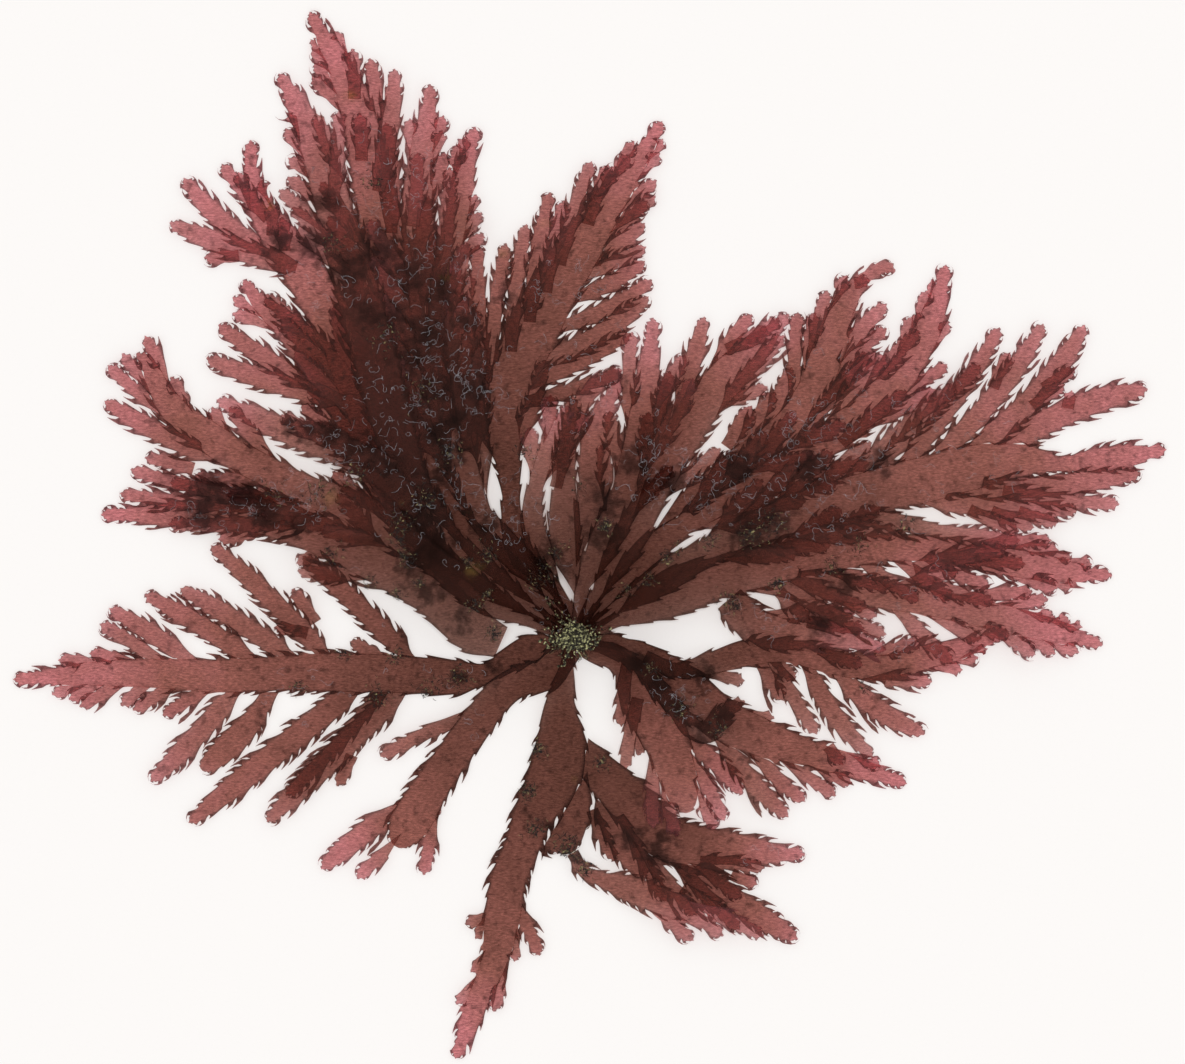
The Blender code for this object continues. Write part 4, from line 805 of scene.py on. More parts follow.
def fill_sides(line, fill, taken):
    """Plain side blades on both margins between two shares of a midline, where the plan gives none."""
    first, last, reach = fill
    sides = []
    travelled = 0.0
    for index in range(round(first * len(line)), round(last * len(line))):
        ahead = (line[index + 1] - line[index]).xy
        travelled += ahead.length
        if travelled < FILL_PITCH:
            continue
        travelled = 0.0
        ahead.normalize()
        for turn in (-1, 1):
            outward = Matrix.Rotation(turn * math.pi / 2, 2) @ ahead
            base = line[index].xy + outward * line[index].z / 2
            tip = base + Matrix.Rotation(turn * FILL_ANGLE, 2) @ ahead * reach
            spots = [base.lerp(tip, share) for share in (0.5, 1.0)]
            if any((Vector(gap[0:2]) - spot).length < gap[2] for gap in GAPS for spot in spots):
                continue
            if all((Vector(side[0:2]) - base).length > FILL_CLEAR for side in taken):
                sides.append((*base, *tip, FILL_WIDTH))
    return sides


class Blade:
    """One flat blade: where its midline runs, how wide it is and how high it lies.

    ahead and across hold the directions along it and to its left margin at each of its places.
    """

    def __init__(self, line, solid, level, age, bases=(), along=None):
        line, self.age = with_fine_tip(line, age)
        steps = [(b - a).xy.length for a, b in zip(line, line[1:])]
        self.travelled = np.concatenate([[0.0], np.cumsum(steps)])
        self.left = self.travelled[-1] - self.travelled
        self.places = [place.xy for place in line]
        ends = [line[0], *line, line[-1]]
        self.ahead = [(after - before).xy.normalized() for before, after in zip(ends, ends[2:])]
        slanted_over = max(2 * FLARE_LENGTH, line[0].z)
        self.across = [self.slanted(index, along, slanted_over) for index in range(len(line))]
        self.half = self.blunt([place.z / 2 for place in line])
        self.level = level
        self.bases = bases
        self.heights = [self.row(solid, share) for share in (-OUTER_ROW, 0.0, OUTER_ROW)]

    def margin_ahead(self, index, side):
        """The direction in which a margin runs on."""
        after = min(index + 2, len(self.places) - 1)
        start, end = (self.places[i] + self.across[i] * side * self.half[i] for i in (index, after))
        return (end - start).normalized()

    def slanted(self, index, along, length):
        """The direction across the blade, turned to its parent's margin near a base that starts there."""
        ahead = self.ahead[index]
        across = Vector((-ahead.y, ahead.x))
        if along is None:
            return across
        margin = along if along.dot(across) > 0 else -along
        reach = margin / max(margin.dot(across), LEAST_SLANT)
        near = max(1 - self.travelled[index] / length, 0)
        return across.lerp(reach, near)

    def blunt(self, half):
        """Half widths with the tip rounded off."""
        end = max(half[-1], TIP_WIDTH / 2)
        half = np.maximum(half, np.minimum(end, self.left))
        near = np.clip(1 - self.left / (TIP_ROUNDED * end), 0, 1)
        return half * np.sqrt(1 + TIP_LEFT - near**2) + TIP_LEFT

    def row(self, solid, share):
        """How high the underside of the frond's solid is along one row of the blade, in millimetres."""
        found = []
        known = []
        for index, place in enumerate(self.places):
            spot = place + self.across[index] * share * self.half[index]
            hit = solid.ray_cast(Vector((spot.x * MM, spot.y * MM, -1.0)), Vector((0, 0, 1)))[0]
            if hit is not None:
                known.append(index)
                found.append(hit.z / MM)
        if not known:
            return np.zeros(len(self.places))
        heights = np.interp(range(len(self.places)), known, found)
        return smoothed(heights, HEIGHT_SPREAD / max(self.travelled[-1] / len(self.places), SHORTEST_STEP))

    def height(self, index, share):
        """How high the blade lies at a share of the way from its midline to a margin."""
        right, middle, left = (row[index] for row in self.heights)
        lowest = middle + (left - right) / 2 * share + ((left + right) / 2 - middle) * share**2
        lie = LIE_ON_FLOOR + LIE_IN_STACK * min(max(lowest, 0) / STACK_FROM, 1)
        return max(lowest, 0) + lie + self.level * LEVEL_STEP


def with_fine_tip(line, age):
    """The line and its ages with its last two steps split, so that the tip comes out round."""
    fine = list(line[:-2])
    for place, after in zip(line[-3:-1], line[-2:]):
        fine += [place.lerp(after, share) for share in (1 / 3, 2 / 3, 1)]
    return fine, list(age) + [age[-1]] * (len(fine) - len(line))


def smoothed(values, spread):
    """The values smoothed along their row, with both ends held."""
    reach = max(1, round(2 * spread))
    weights = np.exp(-0.5 * (np.arange(-reach, reach + 1) / spread) ** 2)
    padded = np.concatenate([np.full(reach, values[0]), values, np.full(reach, values[-1])])
    return np.convolve(padded, weights / weights.sum(), "valid")


def nearness(spot, spots):
    """How near a place is to the nearest of the spots: 1 in its middle, 0 from its radius on."""
    return max(max(1 - math.hypot(spot.x - x, spot.y - y) / radius for x, y, radius in spots), 0.0)


def tooth_plan(blade, side, settings, chance):
    """How far each place of one margin stands out, which are bare, and the teeth.

    A tooth is the index of its shoulder, its length and its form.
    """
    last = len(blade.places) - 1
    rises = np.zeros(last + 1)
    bare = np.zeros(last + 1)
    teeth = []
    first = chance.randint(1, 3)
    while first < last - 1:
        young = blade.left[first] < YOUNG_WITHIN
        old = blade.places[first].length < OLD_WITHIN
        pitch = settings.tooth_pitch * (YOUNG_PITCH if young else 1.0) * (OLD_PITCH if old else 1.0)
        count = max(2, round(pitch / settings.cell * chance.uniform(*PITCH_VARIES)))
        after = min(first + count, last)
        spot = blade.places[first] + blade.across[first] * side * blade.half[first]
        if any((spot - base).length < CLEAR_OF_BASES for base in blade.bases):
            bare[first:after] = 1
            first += 2
            continue
        size = chance.uniform(*SIZE_VARIES) * (OLD_SIZE if old else YOUNG_SIZE if young else 1.0)
        leafy = not old and not young and chance.random() < LEAFY_SHARE
        for index in range(first, after):
            late = ((index - first) / max(count - 1, 1)) ** RISES_LATE
            rises[index] = size * settings.shoulder / MM * late - (YOUNG_SLIMMER if young else 0)
        length = settings.tooth_length * size * (LEAFY_LENGTH if leafy else 1.0)
        if blade.left[after - 1] > TIP_IS_SMOOTH and after < last:
            teeth.append((after - 1, length, LEAFY_TOOTH if leafy else CLOSED_TOOTH if young else OPEN_TOOTH))
        first = after
    return rises, bare, teeth


def add_blade(shape, layers, blade, settings, chance):
    """One blade as a sheet of cells, with its teeth grown from the margins."""
    last = len(blade.places) - 1
    wave = chance.uniform(*WAVE_LENGTHS)
    turn = chance.uniform(0, 2 * math.pi)
    plans = {side: tooth_plan(blade, side, settings, chance) for side in (-1, 1)}
    margins = {}
    grid = bmesh.ops.create_grid(shape, x_segments=last, y_segments=len(ACROSS) - 1, size=1.0)
    for vert in grid["verts"]:
        index = round((vert.co.x + 1) / 2 * last)
        share = ACROSS[round((vert.co.y + 1) / 2 * (len(ACROSS) - 1))]
        reach = share * blade.half[index]
        at_margin = abs(share) == 1
        if at_margin:
            reach += share * plans[share][0][index]
        spot = blade.places[index] + blade.across[index] * reach
        rise = settings.ruffle * share**2 * (1 + math.sin(blade.travelled[index] * 2 * math.pi / wave + turn))
        vert.co = (spot.x * MM, spot.y * MM, blade.height(index, share) * MM + rise)
        vert[layers["age"]] = blade.age[index]
        vert[layers["stain"]] = nearness(spot, STAINS)
        vert[layers["tan"]] = nearness(spot, TAN_SPOTS)
        vert[layers["rim"]] = 1.0 if at_margin and not plans[share][1][index] else 0.0
        if at_margin:
            margins[index, round(share)] = vert
    grow_teeth(shape, layers, blade, margins, {side: plans[side][2] for side in plans})


def grow(shape, edges):
    """Extrudes edges. Gives what each new vertex grew from, and the new edges to go on from."""
    grown = bmesh.ops.extrude_edge_only(shape, edges=edges)["geom"]
    fresh = {item for item in grown if isinstance(item, bmesh.types.BMVert)}
    origins = {}
    for vert in fresh:
        others = (edge.other_vert(vert) for edge in vert.link_edges)
        origins[vert] = next(other for other in others if other not in fresh)
    onward = [item for item in grown if isinstance(item, bmesh.types.BMEdge) and set(item.verts) <= fresh]
    return origins, onward


def grow_teeth(shape, layers, blade, margins, teeth):
    """The teeth of both margins: each grows forward from its shoulder in three lengths."""
    stems = {}
    edges = []
    for side, planned in teeth.items():
        for index, length, form in planned:
            shoulder = margins[index, side]
            notch = margins[index + 1, side]
            edges.append(shape.edges.get((shoulder, notch)))
            ahead = blade.margin_ahead(index, side).to_3d()
            out = ahead.cross(Vector((0, 0, -side)))
            for vert, breadth in ((shoulder, 0.0), (notch, 1.0)):
                stems[vert] = (shoulder.co.copy(), notch.co - shoulder.co, ahead, out, length, breadth, form)
    for stage in range(len(OPEN_TOOTH)):
        origins, edges = grow(shape, edges)
        stems = {vert: stems[origin] for vert, origin in origins.items()}
        for vert, (shoulder, base, ahead, out, length, breadth, form) in stems.items():
            forward, outward, left = form[stage]
            vert.co = shoulder + (ahead * forward + out * outward) * length + base * breadth * left
            for key in ("age", "stain", "tan"):
                vert[layers[key]] = origins[vert][layers[key]]
            vert[layers["rim"]] = TOOTH_RIM


def frond_blades(name, branches, solid, settings):
    """The blades of a frond: each branch and the side blades on its margins."""
    step = settings.cell / MM
    tip = max(math.hypot(*point[0:2]) for branch in branches for point in branch["line"])
    reach = (tip + USUAL_REACH) / 2
    blades = []
    mains = []
    for number, branch in enumerate(branches):
        points = [Vector(point) for point in branch["line"]]
        if points[0].xy.length < STARTS_WITHIN:
            inner = points[0] * 0.5
            inner.z = points[0].z
            points.insert(0, inner)
        line = smooth_line(points, step)
        along = None
        for parent in mains:
            if along is None:
                line, along = from_margin(line, parent)
        stem = 0.0 if name in SLIM_STEMS else BROAD_STEMS
        for place in line:
            share = (place.xy.length - BROAD_FROM) / (BROAD_UNTIL - BROAD_FROM)
            place.z += BROADER + stem * math.sin(math.pi * min(max(share, 0), 1))
        ages = [1 - place.xy.length / reach + AGE_SHIFTS.get(name, 0.0) for place in line]
        if branch["line"][-1][2] == 0:
            count = len(line)
            ages = [age * min((count - index) * step / YOUNG_LENGTH, 1) for index, age in enumerate(ages)]
        sides = list(branch.get("sides", []))
        if "fill" in branch:
            sides += fill_sides(line, branch["fill"], sides)
        bases = [Vector(side[0:2]) for side in sides]
        main = Blade(line, solid, number % LEVELS, ages, bases, along)
        mains.append(main)
        blades.append(main)
        spots = [place.xy for place in line]
        for order, side in enumerate(sides):
            path, along = side_line(side, main, step)
            age = ages[nearest(spots, path[0].xy)]
            fading = SIDE_FADES + OUTER_FADES * (path[-1].xy.length / tip) ** FADES_OUT
            fades = [1 - fading * (index / len(path)) ** FADES_ALONG for index in range(len(path))]
            level = 1 + (number + order) % (LEVELS - 1)
            blades.append(Blade(path, solid, level, [age * fade for fade in fades], (), along))
    return blades


def finish_piece(name, shape, material, slot, *nodes):
    """The finished shape as a piece that rides on the plant and stands for the nodes given."""
    bmesh.ops.recalc_face_normals(shape, faces=shape.faces)
    mesh = bpy.data.meshes.new(name)
    shape.to_mesh(mesh)
    shape.free()
    mesh.materials.append(material)
    piece = bpy.data.objects.new(name, mesh)
    bpy.context.scene.collection.objects.link(piece)
    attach(piece, "root")
    if nodes:
        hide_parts(*nodes)


def add_node(tree, kind, inputs=None, stops=None, **settings):
    """Adds a node with its settings, its ramp's stops and its inputs.

    An input is a value, another node's socket, or another node, which stands for its first socket.
    """
    node = tree.nodes.new("ShaderNode" + kind)
    for name, value in settings.items():
        setattr(node, name, value)
    for name, value in (inputs or {}).items():
        if isinstance(value, bpy.types.Node):
            value = value.outputs[0]
        if isinstance(value, bpy.types.NodeSocket):
            tree.links.new(value, node.inputs[name])
        else:
            node.inputs[name].default_value = value
    if stops:
        ramp = node.color_ramp
        while len(ramp.elements) < len(stops):
            ramp.elements.new(0.5)
        for element, (place, colour) in zip(ramp.elements, stops):
            element.position = place
            element.color = (*colour, 1.0)
    return node


def new_material(name):
    """An empty material, and what adds nodes to it."""
    material = bpy.data.materials.new(name)
    material.use_nodes = True
    material.node_tree.nodes.clear()
    return material, partial(add_node, material.node_tree)


def one_pass(seen, floor, share):
    """What one surface of a blade lets through, so that a whole blade over the floor looks as seen.

    The light passes four surfaces, and each also scatters back a share of it in its own colour.
    """
    scattered = [share * (SCATTERED * s + GLOSS) for s in seen]
    return tuple(
        min((max(s - back, s * LEAST_PASSED) / f) ** (1 / SURFACES) / (1 - share), 1.0)
        for s, back, f in zip(seen, scattered, floor)
    )


# The patterns of the membrane, in cells a metre: patches of tone some 4 mm across, flecks of 0.8 mm that
# break up the stains, and a grain that is drawn out across the plant, to 0.4 mm by 0.13 mm.
PATCHES = 250.0
FLECKS = 1300.0
GRAIN = 6000.0
GRAIN_DRAWN = (0.45, 1.3, 1.0)

# How far the patches shift the age, how far a noise swings, where a blade is grown and where it is old, how
# bright the grain and the rim leave it, and where a stain and a tan spot show among the flecks.
AGE_UNEVEN = 0.08
NOISE_SWING = (0.3, 0.7)
GROWN_AT = 0.33
OLD_AT = 0.8
GRAIN_TONES = (0.84, 1.13)
RIM_TONE = 0.66
STAIN_WEIGHT = 0.4
STAIN_SHOWS = (0.58, 0.82)
TAN_SHOWS = (0.7, 1.5)


def membrane_material(settings, floor):
    """Dried algal membrane, two or three cells thick and pressed flat.

    Its surface scatters part of the light in its own colour and lets the rest through, so that a second layer
    makes it darker and a third hardly more. It is rose when young and brown when old, darker in a thin
    line at the margin, and darkened in stained patches.
    """
    material, add = new_material("dried_algal_membrane")
    share = settings.own_share
    skins = (settings.young, settings.grown, settings.old)
    tones = [one_pass(tone, floor, share) for tone in skins]
    place = add("TexCoord").outputs["Object"]
    age, rim, stain, tan = (
        add("Attribute", attribute_name=key).outputs["Fac"] for key in ("age", "rim", "stain", "tan")
    )
    swing = {"From Min": NOISE_SWING[0], "From Max": NOISE_SWING[1]}
    patches = add("TexNoise", {"Vector": place, "Scale": PATCHES, "Detail": 3.0})
    flecks = add("TexNoise", {"Vector": place, "Scale": FLECKS, "Detail": 5.0})
    drawn = add("Mapping", {"Vector": place, "Scale": GRAIN_DRAWN})
    grain = add("TexNoise", {"Vector": drawn, "Scale": GRAIN, "Detail": 2.0})

    uneven = add("MapRange", {"Value": patches, **swing, "To Min": -AGE_UNEVEN, "To Max": AGE_UNEVEN})
    aged = add("Math", {0: age, 1: uneven}, operation="ADD")
    tone, skin = (
        add("ValToRGB", {"Fac": aged}, [(0.0, stops[0]), (GROWN_AT, stops[1]), (OLD_AT, stops[2])])
        for stops in (tones, skins)
    )

    grained = add("MapRange", {"Value": grain, **swing, "To Min": GRAIN_TONES[0], "To Max": GRAIN_TONES[1]})
    edged = add("MapRange", {"Value": rim, "To Min": 1.0, "To Max": RIM_TONE})
    weak = add("Math", {0: stain, 1: STAIN_WEIGHT}, operation="MULTIPLY")
    spread = add("Math", {0: weak, 1: flecks}, operation="ADD")
    stained = add(
        "MapRange",
        {"Value": spread, "From Min": STAIN_SHOWS[0], "From Max": STAIN_SHOWS[1], "To Min": 1.0,
         "To Max": 1.0 - settings.stain},
    )
    shade = add("Math", {0: grained, 1: edged}, operation="MULTIPLY")
    shade = add("Math", {0: shade, 1: stained}, operation="MULTIPLY")
    passed = add("VectorMath", {0: tone, "Scale": shade}, operation="SCALE")
    through = add("BsdfTransparent", {"Color": passed})

    spotted = add("Math", {0: tan, 1: flecks}, operation="ADD")
    tanned = add("MapRange", {"Value": spotted, "From Min": TAN_SHOWS[0], "From Max": TAN_SHOWS[1]})
    own = add("Mix", {0: tanned, 6: skin, 7: (*settings.tan, 1.0)}, data_type="RGBA")
    dimmed = add("VectorMath", {0: own.outputs[2], "Scale": shade}, operation="SCALE")
    bumps = add("Bump", {"Height": grain, "Strength": 0.35, "Distance": 0.03 * MM})
    surface = add(
        "BsdfPrincipled",
        {"Base Color": dimmed, "Roughness": 0.62, "IOR": 1.45, "Specular IOR Level": 0.22, "Normal": bumps},
    )
    both = add("MixShader", {0: share, 1: through, 2: surface})
    add("OutputMaterial", {"Surface": both})
    return material


# Where the noise of a speckled growth turns from dark over a middle tone to light.
SPECKS_AT = (0.47, 0.57, 0.64)


def speckled_material(name, dark, light, size, amount, roughness):
    """A dull rough growth of one colour with specks of another, the specks some size across."""
    material, add = new_material(name)
    place = add("TexCoord").outputs["Object"]
    spots = add("TexNoise", {"Vector": place, "Scale": 1 / size, "Detail": 2.0})
    middle = [(d * 3 + l) / 4 for d, l in zip(dark, light)]
    stops = [(at - amount, colour) for at, colour in zip(SPECKS_AT, (dark, middle, light))]
    tone = add("ValToRGB", {"Fac": spots}, stops)
    bumps = add("Bump", {"Height": spots, "Strength": 0.5, "Distance": 0.05 * MM})
    surface = add(
        "BsdfPrincipled", {"Base Color": tone, "Roughness": roughness, "IOR": 1.45, "Normal": bumps},
    )
    add("OutputMaterial", {"Surface": surface})
    return material


# A direction that no strand runs along, to tell its sides by.
NEARLY_UP = Vector((0.05, 0.08, 1.0))

# Grains and filaments vary in size by these factors, and grains are stretched by these.
VARIES = (0.6, 1.3)
GRAIN_STRETCH = (0.6, 1.4)


def strand_corner(path, step, corner, radius):
    """One of the three corners of a strand at a step of its path."""
    before = path[max(step - 1, 0)]
    after = path[min(step + 1, len(path) - 1)]
    ahead = (after - before).normalized()
    side = ahead.cross(NEARLY_UP).normalized()
    up = side.cross(ahead)
    turn = 2 * math.pi * corner / 3
    return path[step] + (side * math.cos(turn) + up * math.sin(turn)) * radius


def add_strands(shape, paths, radius, taper):
    """Thin three-sided strands along paths in metres, closed at both ends."""
    rings = {}
    edges = []
    for number, path in enumerate(paths):
        ring = bmesh.ops.create_circle(shape, segments=3, radius=radius)["verts"]
        for corner, vert in enumerate(ring):
            rings[vert] = (number, corner)
            vert.co = strand_corner(path, 0, corner, radius)
            edges.append(shape.edges.get((vert, ring[(corner + 1) % 3])))
    for step in range(1, max(len(path) for path in paths)):
        kept = [edge for edge in edges if len(paths[rings[edge.verts[0]][0]]) > step]
        origins, edges = grow(shape, kept)
        rings = {vert: rings[origin] for vert, origin in origins.items()}
        for vert, (number, corner) in rings.items():
            slim = 1 - taper * step / (len(paths[number]) - 1)
            vert.co = strand_corner(paths[number], step, corner, radius * slim)
    bmesh.ops.holes_fill(shape, edges=[edge for edge in shape.edges if edge.is_boundary], sides=3)


def add_grains(shape, places, size, chance):
    """Small lumps of about the size given at places in metres."""
    for place in places:
        stretch = Matrix.Diagonal([chance.uniform(*GRAIN_STRETCH) for _ in range(3)]).to_4x4()
        turn = Matrix.Rotation(chance.uniform(0, math.pi), 4, "Z")
        bmesh.ops.create_icosphere(
            shape, subdivisions=1, radius=size / 2 * chance.uniform(*VARIES),
            matrix=Matrix.Translation(place) @ turn @ stretch,
        )


def plant_tree():
    """The finished pieces as one surface that rays can be cast at."""
    verts = []
    faces = []
    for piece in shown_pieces():
        first = len(verts)
        verts += [v.co.copy() for v in piece.data.vertices]
        faces += [[first + i for i in polygon.vertices] for polygon in piece.data.polygons]
    return BVHTree.FromPolygons(verts, faces)


def top_at(tree, x, y):
    """How high the plant reaches over a place of the floor, in metres; None off the plant."""
    hit = tree.ray_cast(Vector((x, y, 1.0)), Vector((0, 0, -1)))[0]
    return None if hit is None else hit.z


def scattered(chance, x, y, spread):
    """A spot somewhere around a place of the plan, in metres."""
    return Vector((chance.gauss(x, spread / 2), chance.gauss(y, spread / 2))) * MM


# How many straight lengths a filament has.
FILAMENT_STEPS = 3

# Tufts of small growths on the old margins: (x, y, spread, filaments), in millimetres. At each step a
# filament turns by up to so much, in radians, climbs by these shares and varies in length by these factors,
# and one in so many has a grain at its foot, so many millimetres across.
GROWTHS = (
    (-2.2, 5.6, 1.2, 60), (-3.4, 4.6, 0.8, 40), (-1.4, 7.2, 0.9, 30), (12.8, 3.2, 0.8, 70),
    (13.6, 2.4, 0.6, 40), (17.1, 4.5, 0.7, 60), (14.6, 8.6, 1.0, 60), (16.5, 9.3, 1.4, 70),
    (-14.2, 6.5, 0.9, 60), (-13.2, 4.6, 0.6, 40), (-15.0, 8.2, 0.8, 40), (2.6, 9.4, 0.7, 60),
    (-14.5, 9.8, 1.2, 60), (-12.6, 11.5, 1.2, 60), (-7.2, 7.0, 0.9, 60), (-8.9, 6.2, 0.6, 30),
    (-8.3, 2.7, 0.7, 50), (-6.8, 0.4, 0.7, 60), (-7.2, 3.6, 0.5, 30), (-9.6, -3.6, 1.4, 60),
    (-12.2, -4.6, 1.4, 70), (-16.6, -4.9, 1.2, 60), (-23.4, -4.2, 0.7, 30), (-15.2, -1.6, 0.8, 50),
    (-19.6, -1.0, 0.8, 60), (-17.4, 4.6, 0.7, 40), (-20.4, 6.9, 1.0, 50), (-15.0, 3.6, 0.6, 40),
    (4.4, 3.8, 0.7, 40), (6.1, 4.6, 0.6, 40), (7.8, 6.6, 0.6, 40), (9.2, -5.8, 1.2, 40),
    (12.2, -7.9, 0.9, 50), (6.5, -2.6, 0.6, 30), (-3.2, -9.6, 0.8, 70), (-3.9, -13.0, 0.8, 70),
    (2.2, -10.6, 0.6, 40), (-0.6, -18.0, 1.4, 170), (0.9, -19.6, 0.8, 70), (-3.4, -16.2, 0.8, 60),
    (-6.8, -12.4, 0.5, 20), (21.6, 6.0, 0.8, 40), (24.0, 7.9, 0.9, 40), (28.0, 9.2, 0.9, 40),
    (24.4, -4.4, 0.5, 20), (-21.6, 12.0, 1.4, 60), (-25.6, 12.2, 1.2, 50), (-18.4, 13.4, 1.4, 60),
    (-10.6, 15.6, 1.2, 50), (-13.4, 20.4, 1.2, 50), (-16.0, 25.4, 1.4, 50), (-4.4, 15.6, 0.8, 30),
    (0.4, 12.6, 0.6, 20), (11.4, 8.2, 0.8, 50), (-20.4, 33.2, 1.2, 40), (-17.2, 38.2, 1.0, 30),
    (8.6, 7.4, 0.6, 30),
)
GROWTH_TURNS = 0.9
GROWTH_CLIMBS = (-0.1, 0.5)
GROWTH_VARIES = (0.6, 1.5)
GRAIN_EVERY = 5
GROWTH_GRAIN = 0.14

# Where lint lies: (x, y, spread, fibres), in millimetres. Its fibres vary in length by these factors, take
# steps of so many millimetres, and are smoothed over so many of them in height. A fibre with fewer places
# than the least is left out. The curl that a fibre starts with, the share of it that it keeps at each step
# and what is added there are in radians. Their darkest places have so much of their colour.
LINT = (
    (-12.0, 30.0, 6.0, 70), (-14.0, 20.0, 6.0, 80), (-11.0, 12.0, 4.5, 60), (-5.5, 11.0, 4.0, 45),
    (-16.0, 38.0, 5.0, 40), (-8.0, 22.0, 5.0, 50), (0.0, 28.0, 5.0, 35), (2.0, 20.0, 4.0, 25),
    (7.0, 14.0, 4.0, 55), (12.0, 13.0, 4.0, 45), (18.0, 17.0, 5.0, 45), (24.0, 18.0, 5.0, 30),
    (22.0, 11.0, 5.0, 45), (30.0, 16.0, 5.0, 25), (-24.0, 12.0, 5.0, 55), (-31.0, 11.0, 4.0, 20),
    (-19.0, 16.0, 4.0, 30), (-22.0, -5.5, 4.0, 14), (-12.0, -3.0, 5.0, 10), (8.5, -5.0, 2.4, 26),
    (18.0, -19.5, 4.0, 24), (16.0, 2.0, 3.0, 14), (-2.0, 3.0, 3.0, 12), (28.0, 2.0, 5.0, 16),
    (-22.0, 30.0, 4.0, 20), (-7.0, -7.0, 3.0, 8), (36.0, 16.0, 4.0, 8),
)
LINT_VARIES = (0.4, 1.5)
LINT_STEP = 0.13
LINT_SMOOTHED = 1.5
LEAST_LINT = 4
FIRST_CURL = 0.3
CURL_KEPT = 0.8
CURL_ADDED = 0.42
LINT_DIMMED = 0.55


class SEAWEED_OT_fronds(bpy.types.Operator):
    """Makes the thin toothed fronds in place of their solids"""

    bl_idname = "seaweed.fronds"
    bl_label = "Fronds"

    def execute(self, context):
        settings = context.scene.seaweed_membrane
        material = membrane_material(settings, context.scene.seaweed_stage.floor)
        chance = random.Random(SEED)
        for name, branches in FRONDS.items():
            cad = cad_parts[name].data
            solid = BVHTree.FromPolygons(
                [v.co.copy() for v in cad.vertices], [tuple(p.vertices) for p in cad.polygons],
            )
            shape = bmesh.new()
            layers = {key: shape.verts.layers.float.new(key) for key in ("age", "rim", "stain", "tan")}
            for blade in frond_blades(name, branches, solid, settings):
                add_blade(shape, layers, blade, settings, chance)
            raised = bmesh.ops.extrude_face_region(shape, geom=shape.faces[:], use_keep_orig=True)["geom"]
            upper = [item for item in raised if isinstance(item, bmesh.types.BMVert)]
            bmesh.ops.translate(shape, verts=upper, vec=(0, 0, settings.thickness))
            finish_piece(name.replace("frond", "blades"), shape, material, "frond_membrane", name)
        return {"FINISHED"}


# The body of the tuft: its half sizes as shares of its length, of its width and of its solid's height, its
# lumps as (how many to its radius, how high), added to the least, and where it is cut off and bears
# filaments, in millimetres above the floor.
TUFT_SHARES = (0.34, 0.3, 0.85)
TUFT_LEAST = 0.9
TUFT_LUMPS = ((2.0, 0.7), (6.0, 0.35))
TUFT_CUT = 0.02
TUFT_BEARS = 0.3

# The filaments of the tuft: their usual lengths, how far they start under its skin and stay above the floor,
# and their radius, in millimetres, and how far they stray to each side.
TUFT_LENGTHS = (0.4, 0.6, 0.8, 1.6)
TUFT_SUNK = 0.1
TUFT_ABOVE = 0.08
TUFT_RADIUS = 0.04
TUFT_STRAYS = 0.8

# The grit: half of the grains sit on the tuft, and the rest lie scattered over the stems around it with
# these deviations, and in arms that creep along the stems, with so many grains on each. In millimetres.
GRIT_SPREAD = (0.9, 0.6)
ARMS = ((-2.4, 3.4), (-3.0, -0.4), (-1.2, -2.6), (1.9, -0.5), (-0.8, 1.8))
ARM_GRAINS = 36
ARM_SPREAD = 0.2
GRIT_ABOVE = 0.15
GRIT_SIZE = 0.22


